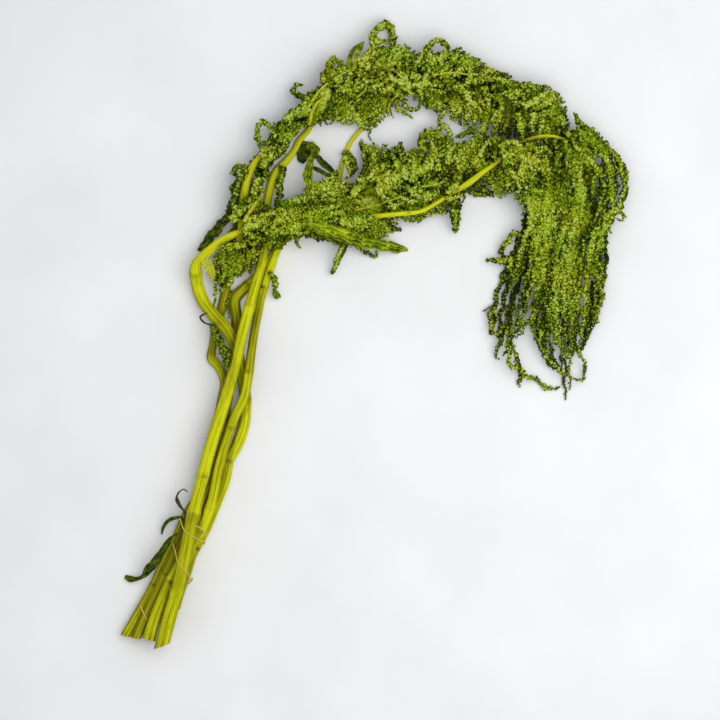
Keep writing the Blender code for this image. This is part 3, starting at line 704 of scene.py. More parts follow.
@dataclass
class Bed:
    """Height map of what has been laid, on which the next strand comes to rest."""

    low: Place = (-245.0, -300.0)
    cells: tuple[int, int] = (500, 600)
    nest: float = 0.74
    least_limit: float = 15.0
    top: Rows = field(init=False)
    roof: Rows = field(init=False)
    layers: Rows = field(init=False)
    limit: Rows = field(init=False)
    bare: list[Rows] = field(default_factory=list)

    def __post_init__(self) -> None:
        """Starts with an empty table."""
        self.top = np.zeros(self.cells)
        self.roof = np.full(self.cells, OPEN)
        self.layers = np.zeros(self.cells)
        self.limit = np.full(self.cells, self.least_limit)

    def set_limit(self, gauge: Gauge, spacing: int = 4, spare: float = 3.0) -> None:
        """Keeps the strands as low as the CAD heads are.

        Args:
            gauge: Reads the tops of the CAD heads.
            spacing: Cells between the rays.
            spare: How far florets may stand above the CAD.
        """
        for i in range(0, self.cells[0], spacing):
            for j in range(0, self.cells[1], spacing):
                height = gauge.cast(self.low[0] + i, self.low[1] + j, True)
                if height is not None:
                    block = self.limit[i:i + spacing, j:j + spacing]
                    np.maximum(block, height + spare, out=block)

    def footprint(self, rows: Rows) -> tuple[Rows, Rows, Rows, Rows]:
        """Cells under a ball at each row, and how far the ball rises over its centre there.

        Args:
            rows: Place and radius as the columns x, y and radius.

        Returns:
            Cell numbers in x and in y, the rise, and which cells lie under the ball.
        """
        reach = math.ceil(rows[:, 2].max())
        steps = np.arange(-reach, reach + 1)
        near_x, near_y = np.rint(rows[:, :2] - self.low).astype(int).T
        i = np.clip(near_x[:, None, None] + steps[None, :, None], 0, self.cells[0] - 1)
        j = np.clip(near_y[:, None, None] + steps[None, None, :], 0, self.cells[1] - 1)
        dx = self.low[0] + i - rows[:, 0][:, None, None]
        dy = self.low[1] + j - rows[:, 1][:, None, None]
        over = rows[:, 2][:, None, None] ** 2 - dx ** 2 - dy ** 2
        i, j = np.broadcast_arrays(i, j)
        return i, j, np.sqrt(np.maximum(over, 0.0)), over > 0

    def rest(self, rows: Rows) -> Rows:
        """Height of the centre of each ball where it rests on what lies there.

        Args:
            rows: Place and radius of each ball.

        Returns:
            The heights.
        """
        i, j, rise, under = self.footprint(rows)
        on_pile = np.where(under, self.top[i, j] + self.nest * rise, 0.0).max(axis=(1, 2))
        return np.maximum(on_pile, rows[:, 2])

    def headroom(self, rows: Rows) -> Rows:
        """Greatest height of the centre of each ball that keeps it below what lies above.

        Args:
            rows: Place and radius of each ball.

        Returns:
            The heights.
        """
        i, j, rise, under = self.footprint(rows)
        below_roof = np.where(under, self.roof[i, j] - rise, OPEN).min(axis=(1, 2))
        below_limit = self.limit[i, j].max(axis=(1, 2)) - rows[:, 2]
        return np.maximum(np.minimum(below_roof, below_limit), rows[:, 2])

    def stamp(self, path: Rows, florets: bool = True) -> None:
        """Adds a laid path to the pile.

        Args:
            path: Rows of x, y, z and radius.
            florets: False for a stem, which doesn't count as cover.
        """
        i, j, rise, under = self.footprint(path[:, [0, 1, 3]])
        tops = np.where(under, path[:, 2][:, None, None] + self.nest * rise, 0.0)
        np.maximum.at(self.top, (i, j), tops)
        if florets:
            np.add.at(self.layers, (i, j), under * (STEP / (2 * path[:, 3]))[:, None, None])

    def make_room(self, path: Rows, over: float, reach: float = 9.0) -> None:
        """Lets florets lie over a stem that the CAD heads stay under.

        Args:
            path: Rows of x, y, z and radius of the stem.
            over: How far the florets may stand above it.
            reach: How far to its sides that holds.
        """
        i, j, _, under = self.footprint(balls(path, reach))
        tops = (path[:, 2] + path[:, 3] + over)[:, None, None]
        np.maximum.at(self.limit, (i, j), np.where(under, tops, 0.0))

    def crests(self, reach: int = 4, blur: int = 2) -> Rows:
        """Height of the ridges round each cell: the highest pile nearby, a little blurred.

        Args:
            reach: How many cells away a ridge counts.
            blur: How many cells it is spread over.

        Returns:
            The heights, cell by cell.
        """
        high, steps = self.top.copy(), range(-reach, reach + 1)
        for dx, dy in ((dx, dy) for dx in steps for dy in steps if math.hypot(dx, dy) <= reach):
            np.maximum(high, np.roll(self.top, (dx, dy), (0, 1)), out=high)
        near = range(-blur, blur + 1)
        return sum(np.roll(high, (dx, dy), (0, 1)) for dx in near for dy in near) / len(near) ** 2

    def cell(self, places: Rows) -> tuple[Rows, Rows]:
        """Cell numbers in x and in y at each place."""
        near = np.rint(places[:, :2] - self.low).astype(int)
        return tuple(np.clip(near, 0, np.array(self.cells) - 1).T)

    def sunk(self, crests: Rows, places: Rows) -> Rows:
        """How far places lie below the ridges round them.

        Args:
            crests: Heights of the ridges.
            places: Rows of x, y and z.

        Returns:
            The depth of each place.
        """
        return crests[self.cell(places)] - places[:, 2]

    def cover_at(self, places: Rows) -> Rows:
        """Number of layers at each place."""
        return self.layers[self.cell(places)]

    def hang_roof(self, path: Rows) -> None:
        """Marks the underside of a piece that is laid later, over what comes now."""
        i, j, rise, under = self.footprint(path[:, [0, 1, 3]])
        np.minimum.at(self.roof, (i, j), np.where(under, path[:, 2][:, None, None] - rise, OPEN))

    def lift_roof(self) -> None:
        """Forgets what is laid later, when its turn has come."""
        self.roof[:] = OPEN

    def crowding(self, line: Rows) -> float:
        """Mean number of layers along the outer part of a line."""
        return float(self.cover_at(line[len(line) // 3:]).mean())

    def clear_of_bare(self, line: Rows, reach: float) -> Rows:
        """The start of a line, up to where it would cover a bare stretch of stem.

        Args:
            line: Rows of x and y.
            reach: Half the strand's width.

        Returns:
            The part that stays clear.
        """
        for stretch in self.bare:
            apart = np.linalg.norm(line[:, None, :2] - stretch[None, :, :2], axis=2)
            hit = (apart < stretch[None, :, 2] + reach).any(axis=1)
            if hit.any():
                line = line[: max(2, int(hit.argmax()))]
        return line


# Florets

@dataclass
class BractMoulds:
    """Tiny pointed bracts of the florets, each modelled once and then stamped by the thousand."""

    kinds: int = 8
    sides: int = 5
    points: Rows = field(init=False)
    faces: Rows = field(init=False)

    def __post_init__(self) -> None:
        """Models every kind."""
        made = [self.model(seed) for seed in range(self.kinds)]
        self.points = np.array([points for points, _ in made])
        self.faces = made[0][1]

    def model(self, seed: int) -> tuple[Rows, Rows]:
        """Models one bract about its own middle, with its tip towards +Z.

        Args:
            seed: Picks how it is dented and where its tip leans.

        Returns:
            Its points and its triangles.
        """
        deselect()
        bpy.ops.mesh.primitive_cone_add(vertices=self.sides, radius1=1.0, depth=1.05)
        bract = take_name("bract")
        draw = random.Random(seed)
        bpy.ops.object.mode_set(mode="EDIT")
        bpy.ops.mesh.select_mode(type="FACE")
        pick(bract, Part.FACES, lambda face: face.normal.z < -0.9)
        bpy.ops.mesh.poke(offset=0.55)
        bpy.ops.mesh.select_mode(type="VERT")
        rim = [vertex.co.copy() for vertex in bmesh.from_edit_mesh(bract.data).verts]
        for corner in [place for place in rim if place.xy.length > 0.5]:
            pick(bract, Part.CORNERS, lambda v, corner=corner: (v.co - corner).length < 0.01)
            bpy.ops.transform.translate(value=(
                corner.x * draw.uniform(-0.35, 0.2), corner.y * draw.uniform(-0.35, 0.2),
                draw.uniform(-0.2, 0.35)))
        pick(bract, Part.CORNERS, lambda v: v.co.z > 0.6 and v.co.xy.length < 0.1)
        bpy.ops.transform.translate(value=(
            draw.uniform(-0.35, 0.35), draw.uniform(-0.35, 0.35), draw.uniform(0.0, 0.4)))
        bpy.ops.object.mode_set(mode="OBJECT")
        points = places_of(bract)
        faces = np.array([tuple(face.vertices) for face in bract.data.polygons])
        bpy.data.objects.remove(bract)
        return points, faces


@dataclass
class Heap:
    """Points, triangles and tints gathered for one piece."""

    points: list[Rows] = field(default_factory=list)
    faces: list[Rows] = field(default_factory=list)
    tints: list[Rows] = field(default_factory=list)
    count: int = 0

    def add(self, points: Rows, faces: Rows, tints: Rows) -> None:
        """Adds a shape in millimetres, with a tint for each of its points.

        Args:
            points: Rows of x, y and z.
            faces: Rows of three point numbers.
            tints: One for each point.
        """
        self.points.append(points)
        self.faces.append(faces + self.count)
        self.tints.append(tints)
        self.count += len(points)

    def triangles(self) -> int:
        """How many triangles have been gathered."""
        return sum(len(faces) for faces in self.faces)

    def piece(self, name: str, finish: Material) -> Piece:
        """Makes the object. Operators would need hours for this many bracts.

        Args:
            name: Name of the object.
            finish: Its material.

        Returns:
            The object, with its tint attribute.
        """
        points = np.concatenate(self.points) * MM
        faces = np.concatenate(self.faces)
        mesh = bpy.data.meshes.new(name)
        mesh.vertices.add(len(points))
        mesh.vertices.foreach_set("co", points.astype(np.float32).ravel())
        mesh.loops.add(faces.size)
        mesh.loops.foreach_set("vertex_index", faces.astype(np.int32).ravel())
        mesh.polygons.add(len(faces))
        mesh.polygons.foreach_set("loop_start", np.arange(0, faces.size, 3, dtype=np.int32))
        mesh.update(calc_edges=True)
        mesh.polygons.foreach_set("use_smooth", np.ones(len(faces), bool))
        mesh.materials.append(finish)
        made = bpy.data.objects.new(name, mesh)
        bpy.context.scene.collection.objects.link(made)
        keep_value(made, "tint", np.concatenate(self.tints))
        return made


@dataclass
class FloretCoat:
    """How a strand is covered: a thin axis, darkened as painted shade between the bracts, and
    bracts that bunch in small knots.
    """

    moulds: BractMoulds
    # rows along the strand, bracts round it, their size and how far they lean forwards
    pitch: float = 2.35
    spacing: float = 2.75
    round_share: float = 0.75
    bract: float = 1.95
    bract_share: float = 0.56
    bract_range: Place = (0.7, 1.35)
    lean: float = 0.5
    # length of a knot, how much thicker it is, and how uneven the knots are
    knot: float = 5.6
    knot_depth: float = 0.36
    knot_middle: float = 0.6
    knot_shift: float = 0.35
    knot_wave: float = 5.3
    # chance differences: turn round the strand, reach, slip along it, direction and tint
    turn_by: float = 0.28
    reach_by: float = 0.08
    slip_by: float = 0.5
    sway_by: float = 0.2
    tint_by: float = 0.08
    # the axis, as shares of the strand's width and tint, the lower tint being painted shade between
    # the bracts
    axis_sides: int = 5
    axis_step: int = 3
    axis_share: float = 0.5
    # tint of all bracts, and painted light and shade: by knot, by facing the sky, towards the tip
    # and by depth
    tint: float = 0.195
    painted_knot_shade: float = 0.2
    painted_sky_light: float = 0.4
    painted_sky_light_middle: float = 0.34
    painted_tip_light: float = 0.16
    painted_depth_shade: float = 0.054
    painted_depth_shade_most: float = 5.5
    depth: Callable[[Rows], Rows] | None = None

    def axis(self, path: Rows, heap: Heap, tone: float) -> None:
        """Adds the strand's thin axis as a closed tube.

        Args:
            path: Rows of x, y, z and radius.
            heap: What the tube is added to.
            tone: Tint of the strand.
        """
        rows = path[:: self.axis_step] if len(path) > 2 * self.axis_step else path
        _, side, up = headings(rows)
        angle = TURN * np.arange(self.axis_sides) / self.axis_sides
        ring = (side[:, None] * np.cos(angle)[None, :, None]
                + up[:, None] * np.sin(angle)[None, :, None])
        points = rows[:, None, :3] + ring * (rows[:, 3] * self.axis_share)[:, None, None]
        count, sides = len(rows), self.axis_sides
        k = np.arange(sides)
        faces = []
        for row in range(count - 1):
            a, b = row * sides + k, row * sides + (k + 1) % sides
            faces += [np.column_stack([a, b, b + sides]),
                      np.column_stack([a, b + sides, a + sides])]
        last = count * sides
        faces.append(np.column_stack([(k + 1) % sides, k, np.full(sides, last)]))
        faces.append(np.column_stack([last - sides + k, last - sides + (k + 1) % sides,
                                      np.full(sides, last + 1)]))
        points = np.concatenate([points.reshape(-1, 3), rows[[0, -1], :3]])
        # a share of the strand's tint darkens the axis, as painted shade seen between the bracts
        heap.add(points, np.concatenate(faces), np.full(len(points), self.axis_share * tone))

    def cover(self, path: Rows, heap: Heap, tone: float, draw: np.random.Generator) -> None:
        """Adds the bracts along a path, thicker where they bunch in knots.

        Args:
            path: Rows of x, y, z and radius.
            heap: What the bracts are added to.
            tone: Tint of the strand.
            draw: Source of the chance differences.
        """
        runs = np.linalg.norm(np.diff(path[:, :3], axis=0), axis=1)
        along = np.concatenate([[0.0], np.cumsum(runs)])
        count = max(3, round(along[-1] / self.pitch))
        at = (np.arange(count) + 0.6) * along[-1] / count
        rows = read_at(at, along, path)
        forward, side, up = headings(rows)
        wave = self.knot_shift * np.sin(at / self.knot_wave + draw.uniform(0, TURN))
        knot = 0.5 + 0.5 * np.cos(TURN * (at / self.knot + wave) + draw.uniform(0, TURN))
        swell = 1 + self.knot_depth * (knot - self.knot_middle)
        room = TURN * self.round_share * rows[:, 3] * swell / self.spacing
        around = np.maximum(4, np.rint(room)).astype(int)
        row = np.repeat(np.arange(count), around)
        first = np.concatenate([[0], np.cumsum(around)[:-1]])
        number = np.arange(len(row)) - first[row]
        angle = (TURN * number / around[row] + GOLDEN * row
                 + draw.normal(0, self.turn_by, len(row)))
        out = side[row] * np.cos(angle)[:, None] + up[row] * np.sin(angle)[:, None]
        size = np.minimum(self.bract, self.bract_share * rows[row, 3])
        size *= draw.uniform(*self.bract_range, len(row))
        reach = rows[row, 3] * swell[row] * draw.normal(1.0, self.reach_by, len(row)) - 0.5 * size
        centre = rows[row, :3] + out * reach[:, None]
        centre += forward[row] * draw.normal(0, self.slip_by, len(row))[:, None]
        lift = out + self.lean * forward[row] + draw.normal(0, self.sway_by, (len(row), 3))
        tip = len(centre)
        centre = np.concatenate([centre, path[-1:, :3]])
        lift = np.concatenate([lift, forward[-1:]])
        size = np.append(size, 0.7 * path[-1, 3])
        lift /= np.linalg.norm(lift, axis=1)[:, None]
        across = np.cross(lift, draw.normal(0, 1, (tip + 1, 3)))
        across /= np.linalg.norm(across, axis=1)[:, None]
        third = np.cross(lift, across)
        shape = self.moulds.points[draw.integers(0, self.moulds.kinds, tip + 1)]
        points = centre[:, None] + size[:, None, None] * (
            shape[..., 0:1] * across[:, None] + shape[..., 1:2] * third[:, None]
            + shape[..., 2:3] * lift[:, None])
        own = self.tint + tone + draw.normal(0, self.tint_by, tip + 1)
        # knots lighter and the waists between them darker, as painted light and shade
        own += self.painted_knot_shade * (np.append(knot[row], 1.0) - self.knot_middle)
        # bracts that lie below the ridges round them darker, as painted shade
        if self.depth is not None:
            own -= self.painted_depth_shade * np.clip(self.depth(centre) + 0.2, 0.0, self.painted_depth_shade_most)
        # bracts that face the sky lighter and those facing sideways or down darker, as painted
        # light and shade
        own[:-1] += self.painted_sky_light * (out[:, 2] - self.painted_sky_light_middle)
        # each bract lighter at its tip and darker at its base, as painted light and shade
        bright = own[:, None] + self.painted_tip_light * shape[..., 2]
        faces = (self.moulds.faces[None]
                 + (np.arange(tip + 1) * shape.shape[1])[:, None, None])
        heap.add(points.reshape(-1, 3), faces.reshape(-1, 3), bright.ravel())

    def dress(self, path: Rows, heap: Heap, tone: float, draw: np.random.Generator) -> None:
        """Adds a whole strand: its axis and its bracts."""
        self.axis(path, heap, tone)
        self.cover(path, heap, tone, draw)


class Side(Enum):
    """Which side of its core a strand leaves on."""

    LEFT = 1
    RIGHT = -1


@dataclass(frozen=True)
class Growth:
    """How a run of strands leaves a core: how many, how far turned and how long."""

    count: int
    lean: Place = (20.0, 65.0)
    length: Place = (24.0, 44.0)
    sweep: Place = (0.0, 60.0)
    span: Place = (0.0, 6.0)
    start: float = 0.0
    end: float = 1.0
    sides: tuple[Side, ...] = (Side.LEFT, Side.RIGHT)
    radius: Place = (2.8, 3.5)
    # added to the head's tint: lowered for strands that lie low, as painted shade, raised for some
    # on top, as painted light
    tone: float = 0.0


@dataclass
class SeedHead:
    """One head of florets: a dense core and the thin strands that grow from it."""

    name: str
    core: Route
    outline: Outline
    tone: float
    seed: int
    # of so many tries the strand is taken that lies where the florets are thinnest
    tries: int = 6
    fewest_rows: int = 9
    # a strand waves from side to side, bends up and down no tighter than this, and tapers
    wave: float = 0.35
    wave_length: float = 38.0
    bend: float = 22.0
    tip_run: float = 12.0
    tip_thinner: float = 0.45
    lumps: float = 0.16
    lump_length: float = 21.0
    crinkle: float = 1.5
    crinkle_length: float = 17.0
    crinkle_run: float = 6.0
    tone_by: float = 0.11
    # the core: its width as a share of the route's, its tightest bend, and how much darker it is,
    # as painted shade where it lies lowest
    core_fit: float = 0.72
    core_bend: float = 50.0
    core_painted_shade: float = 0.3
    # strands that fill holes reach so far, and a place with less cover is a hole
    fill_reach: float = 62.0
    hole: float = 0.3
    # triangles after which a new piece begins
    most: int = 190000
    guide: Rows = field(init=False)
    strands: list[tuple[Rows, float]] = field(default_factory=list)
    draw: random.Random = field(init=False)

    def __post_init__(self) -> None:
        """Reads the core and seeds the chance differences."""
        self.guide = smooth(self.core)
        self.draw = random.Random(self.seed)

    def lay_core(self, bed: Bed) -> None:
        """Lays the dense core on the stems and adds it as the first, thickest strand.

        Args:
            bed: What it is laid on.
        """
        rows = self.guide.copy()
        rows[:, 2] *= self.core_fit
        along = distance_along(rows)
        height = np.minimum(bent(bed.rest(rows), along, self.core_bend), bed.headroom(rows))
        path = np.column_stack([rows[:, :2], height, rows[:, 2]])
        bed.stamp(path)
        # the core lies lowest, so its tint is lowered as painted shade
        self.strands.append((path, self.tone - self.core_painted_shade))

    def wander(self, place: Rows, heading: float, length: float, turn: float) -> Rows:
        """A level line that turns steadily and waves slightly.

        Args:
            place: Where it starts.
            heading: Direction at the start, in radians.
            length: Its length.
            turn: How far it turns by its end, in radians.

        Returns:
            Rows of x and y.
        """
        count = max(6, round(length / STEP))
        share = np.arange(count) / count
        phase, size = self.draw.random(), self.wave * self.draw.uniform(0.4, 1.3)
        wave = size * np.sin(TURN * (share * length / self.wave_length + phase))
        angle = heading + turn * share + wave
        steps = STEP * np.column_stack([np.cos(angle), np.sin(angle)])
        return place + np.concatenate([[[0.0, 0.0]], np.cumsum(steps, axis=0)])

    def sprout(self, growth: Growth, guide: Rows, bed: Bed, radius: float) -> Rows:
        """One possible strand, cut off at the outline and at bare stems.

        Args:
            growth: How the strand leaves.
            guide: The line that it leaves from.
            bed: What it is laid on.
            radius: Its half width.

        Returns:
            Rows of x and y, which may be too few to use.
        """
        draw = self.draw
        share = draw.uniform(growth.start, growth.end)
        index = min(int(share * len(guide)), len(guide) - 2)
        run = guide[index + 1, :2] - guide[index, :2]
        heading = math.atan2(run[1], run[0])
        side = draw.choice(growth.sides).value
        offset = side * draw.uniform(*growth.span)
        place = guide[index, :2] + offset * np.array([-math.sin(heading), math.cos(heading)])
        angle = heading + side * math.radians(draw.uniform(*growth.lean))
        turn = -side * math.radians(draw.uniform(*growth.sweep))
        line = self.wander(place, angle, draw.uniform(*growth.length), turn)
        return bed.clear_of_bare(self.outline.clip(line), radius)

    def grow(self, growth: Growth, bed: Bed, guide: Rows | None = None) -> None:
        """Lays a run of strands, each where the florets are thinnest so far.

        Args:
            growth: How many, how long and how far turned.
            bed: What they are laid on.
            guide: The line they leave from, in place of the core.
        """
        guide = self.guide if guide is None else guide
        for _ in range(growth.count):
            radius = self.draw.uniform(*growth.radius)
            options = [self.sprout(growth, guide, bed, radius) for _ in range(self.tries)]
            options = [line for line in options if len(line) > self.fewest_rows]
            if options:
                line = min(options, key=bed.crowding)
                self.lay(line, radius, bed, self.tone + growth.tone)

    def crinkled(self, line: Rows) -> Rows:
        """A level line with small uneven bends to its sides.

        Args:
            line: Rows of x and y.

        Returns:
            The bent line.
        """
        along = distance_along(line)
        forward = np.gradient(line[:, :2], axis=0)
        forward /= np.linalg.norm(forward, axis=1)[:, None] + 1e-9
        aside = np.column_stack([-forward[:, 1], forward[:, 0]])
        bend = self.crinkle * ripple(along / self.crinkle_length, self.draw.randrange(9999))
        bend *= ease(along / self.crinkle_run)
        return line[:, :2] + aside * bend[:, None]

    def fill(self, bed: Bed, most: int, radius: Place = (2.7, 3.3), tone: float = 0.0) -> None:
        """Lays strands from the core to places inside the outline that are still empty.

        Args:
            bed: What they are laid on.
            most: Greatest number of strands.
            radius: Least and greatest half width.
            tone: Added to the tint of the head.
        """
        spots = self.outline.spots()
        apart = np.linalg.norm(spots[:, None] - self.guide[None, :, :2], axis=2)
        near, gap = apart.argmin(axis=1), apart.min(axis=1)
        tried = gap > self.fill_reach
        for _ in range(most):
            empty = np.flatnonzero(~tried & (bed.cover_at(spots) < self.hole))
            if not len(empty):
                return
            spot = int(empty[self.draw.randrange(len(empty))])
            tried[spot] = True
            start = max(0, int(near[spot] - 0.4 * gap[spot] / STEP))
            root, goal = self.guide[start, :2], spots[spot]
            ahead = self.guide[min(start + 4, len(self.guide) - 1), :2] - root
            ahead /= np.linalg.norm(ahead) + 1e-9
            middle = root + 0.5 * (goal - root) + ahead * 0.12 * gap[spot]
            angle = math.atan2(*(goal - middle)[::-1]) + self.draw.uniform(-0.9, 0.9)
            end = goal + self.draw.uniform(3, 8) * np.array([math.cos(angle), math.sin(angle)])
            line = bed.clear_of_bare(smooth((root, middle, goal, end)), radius[0])
            inside = self.outline.holds(line[:, :2])
            inside[: int(len(line) * 0.7)] = True
            line = line if inside.all() else line[: int(inside.argmin())]
            if len(line) > 6:
                self.lay(line, self.draw.uniform(*radius), bed, self.tone + tone)

    def lay(self, line: Rows, radius: float, bed: Bed, tone: float, slim: float = 1.0) -> None:
        """Lays one strand along a level line.

        Args:
            line: Rows of x and y.
            radius: Its half width at the root.
            bed: What it is laid on.
            tone: Tint of its florets.
            slim: Its width at the tip as a share of that at the root.
        """
        line = self.crinkled(line)
        along = distance_along(line)
        taper = 1 - self.tip_thinner * ease((along - along[-1] + self.tip_run) / self.tip_run)
        taper *= 1 - (1 - slim) * along / along[-1]
        lumps = 1 + self.lumps * ripple(along / self.lump_length, self.draw.randrange(9999))
        rows = np.column_stack([line[:, :2], radius * taper * lumps])
        room = -bent(-bed.headroom(rows), along, self.bend)
        height = np.minimum(bent(bed.rest(rows), along, self.bend), np.maximum(room, rows[:, 2]))
        path = np.column_stack([rows[:, :2], height, rows[:, 2]])
        bed.stamp(path)
        self.strands.append((path, tone + self.draw.gauss(0, self.tone_by)))

    def hang(
        self, sides: tuple[Route, Route], shares: Sequence[float], short: Place, radius: Place,
        slim: float, bed: Bed, tone: float = 0.0, wobble: float = 3.0, begin: float = 0.0,
    ) -> None:
        """Lays long hanging strands between the two sides of a sheaf.

        Args:
            sides: Left and right side, from the root to the tips.
            shares: How far across each strand hangs.
            short: Least and greatest part of its length that a strand falls short.
            radius: Least and greatest half width at the root.
            slim: Width at the tip as a share of that at the root.
            bed: What they are laid on.
            tone: Added to the tint of the head.
            wobble: How far the knots are moved by chance.
            begin: Part of the length that is left out at the root.
        """
        left, right = np.array(sides[0], float), np.array(sides[1], float)
        for share in shares:
            points = left + (right - left) * share
            for point in points:
                point += (self.draw.uniform(-wobble, wobble), self.draw.uniform(-wobble, wobble))
            line = smooth(points)
            keep = 1 - self.draw.uniform(*short)
            line = line[int(len(line) * begin): int(len(line) * keep)]
            self.lay(line, self.draw.uniform(*radius), bed, self.tone + tone, slim)

    def trim(self, routes: Sequence[tuple[Route, float]], bed: Bed, tone: float = 0.0) -> None:
        """Lays single strands along given routes, each with its half width."""
        for route, radius in routes:
            self.lay(smooth(route), radius, bed, self.tone + tone)

    def build(self, coat: FloretCoat, finish: Material, slot: str) -> None:
        """Covers the strands with florets, in pieces small enough to keep every face.

        Args:
            coat: How a strand is covered.
            finish: Material of the florets.
            slot: Not used.
        """
        heap, number = Heap(), 1
        chance = np.random.default_rng(self.seed)
        last = len(self.strands) - 1
        for index, (path, tone) in enumerate(self.strands):
            coat.dress(path, heap, tone, chance)
            if heap.triangles() > self.most or index == last:
                piece = heap.piece(f"{self.name}_florets_{number}", finish)
                hand_over(piece, self.name if number == 1 else "")
                heap, number = Heap(), number + 1
        LOG.info("%s: %d strands", self.name, len(self.strands))


# Stems

@dataclass
class Stem:
    """One fluted stem, bent along its route, with leaf scars and a slanting cut end."""

    name: str
    route: Route
    cut: float
    ribs: int
    seed: int
    joints: tuple[float, ...]
    tone: float = 0.0
    slot: str = "lime_stem"
    pinches: tuple[float, ...] = ()
    sides: int = 56
    spacing: float = 2.8
    cut_at: float = 6.0
    # depth and roundness of the flutes
    groove: float = 0.15
    roundness: float = 0.27
    # swelling of a joint, and how far a kink draws the stem in
    joint_swell: float = 0.09
    joint_run: float = 4.5
    pinch_depth: float = 0.26
    pinch_run: float = 2.6
    # rows over which the heights of the CAD stem are evened out
    window: int = 9
    path: Rows = field(init=False)

    def __post_init__(self) -> None:
        """Reads the heights of the CAD stem along the route."""
        level = smooth(self.route)
        height = Gauge((self.name,)).middles(level)
        height = np.pad(height, self.window // 2, mode="edge")
        height = np.convolve(height, np.ones(self.window) / self.window, mode="valid")
        self.path = np.column_stack([level[:, :2], height, level[:, 2]])

    def rod(self) -> Piece:
        """An upright rod of unit radius and length, with rings of faces along it.

        Returns:
            The rod, open at both ends.
        """
        rings = round(distance_along(self.path)[-1] / self.spacing)
        deselect()
        bpy.ops.mesh.primitive_cylinder_add(
            vertices=self.sides, radius=1.0, depth=1.0, end_fill_type="NOTHING")
        rod = take_name(self.name + "_skin")
        bpy.ops.object.mode_set(mode="EDIT")
        bpy.ops.mesh.select_mode(type="EDGE")
        pick(rod, Part.EDGES, lambda edge: abs(edge.verts[0].co.z - edge.verts[1].co.z) > 0.5)
        bpy.ops.mesh.subdivide_edgering(number_cuts=rings, interpolation="LINEAR")
        bpy.ops.object.mode_set(mode="OBJECT")
        return rod

    def marked(
        self, along: Rows, angle: Rows, reach: Rows, draw: random.Random,
    ) -> tuple[Rows, Rows, Rows]:
        """Swells the stem at its joints, with a leaf scar on each, and draws it in at kinks.

        Args:
            along: Distance of each place along the stem.
            angle: Its angle round the stem.
            reach: Its distance from the axis.
            draw: Source of the chance differences.

        Returns:
            The new reach, how scarred each place is, and how its tone shifts from joint to joint.
        """
        scar, tone, shift = np.zeros(len(angle)), np.zeros(len(angle)), 0.0
        for joint in self.joints:
            reach = reach * (1 + self.joint_swell * bump_at(along, joint, self.joint_run))
            facing = draw.uniform(0.6, 2.4)
            turned = np.abs((angle - facing + math.pi) % TURN - math.pi)
            reach += 0.8 * bump_at(along, joint - 3.0, 3.0) * bump_at(turned, 0.0, 0.6)
            mark = bump_at(along, joint, 1.3) * bump_at(turned, 0.0, 0.5)
            scar += draw.uniform(0.0, 0.9) * mark + 0.3 * bump_at(along, joint, 0.8)
            step = draw.uniform(-0.13, 0.13) - shift
            tone += step * ease((along - joint) / 3.0)
            shift += step
        for pinch in self.pinches:
            reach = reach * (1 - self.pinch_depth * bump_at(along, pinch, self.pinch_run))
            scar += 0.5 * bump_at(along, pinch, 1.2)
        return reach, scar, tone

    def toned(self, along: Rows, deep: Rows) -> Rows:
        """Brightness along the stem: dull at the base, brighter where it bends out of the tie, and
        darker as painted shade where it lies below the florets round it.

        Args:
            along: Distance of each place along the stem.
            deep: How far it lies below the ridges round it.

        Returns:
            What is added to the tone of each place.
        """
        upper = ease((along - 290.0) / 80.0) * (1 - 0.7 * ease((along - 620.0) / 60.0))
        base = 0.2 * upper - 0.05 * bump_at(along, 210.0, 70.0) - 0.02
        # painted shade where the stem lies below the florets round it
        painted_depth_shade = (0.045 - 0.02 * upper) * np.clip(deep - 1.6, 0.0, 3.6)
        return self.tone + base - painted_depth_shade + 0.05 * ripple(along / 120.0, self.seed + 4)

    def shape(self, rod: Piece, depth: Callable[[Rows], Rows]) -> None:
        """Bends the rod along the path, and draws in its grooves, joints and scars.

        Args:
            rod: The upright rod.
            depth: How far places lie below the ridges round them.
        """
        places = places_of(rod)
        angle = np.arctan2(places[:, 1], places[:, 0])
        length = distance_along(self.path)
        along = (places[:, 2] + 0.5) * length[-1]
        _, side, up = headings(self.path)
        row, aside, upward = (read_at(along, length, rows) for rows in (self.path, side, up))
        draw = random.Random(self.seed)
        skew = 0.45 * np.sin(2 * angle + draw.uniform(0, TURN)) + 0.3 * np.sin(3 * angle + 1.3)
        drift = 0.5 * ripple(along / 260.0, self.seed)
        ridge = np.abs(np.cos(self.ribs * angle / 2 + skew + drift)) ** self.roundness
        deep = self.groove * (0.75 + 0.45 * ripple(along / 90.0 + angle / TURN, self.seed + 1))
        reach = row[:, 3] * (1 - deep * (1 - ridge))
        reach *= 1 + 0.03 * ripple(along / 47.0, self.seed + 2)
        reach, scar, tone = self.marked(along, angle, reach, draw)
        scar += 0.6 * np.clip(ripple(along / 33.0 + angle / TURN, self.seed + 3) - 0.62, 0, 1)
        scar += 0.5 * (1 - ease((along - self.cut_at) / 5.0)) * (ridge < 0.7)
        round_about = np.column_stack([np.cos(angle), np.sin(angle)])
        spot = row[:, :3] + reach[:, None] * (
            aside * round_about[:, :1] + upward * round_about[:, 1:])
        spot[:, 2] = np.maximum(spot[:, 2], 0.0)
        move_to(rod, spot * MM)
        keep_value(rod, "fibre", np.column_stack([row[:, 3:] * round_about, along * 0.035]))
        keep_value(rod, "ridge", ridge)
        keep_value(rod, "scar", scar)
        keep_value(rod, "tone", tone + self.toned(along, depth(spot)))

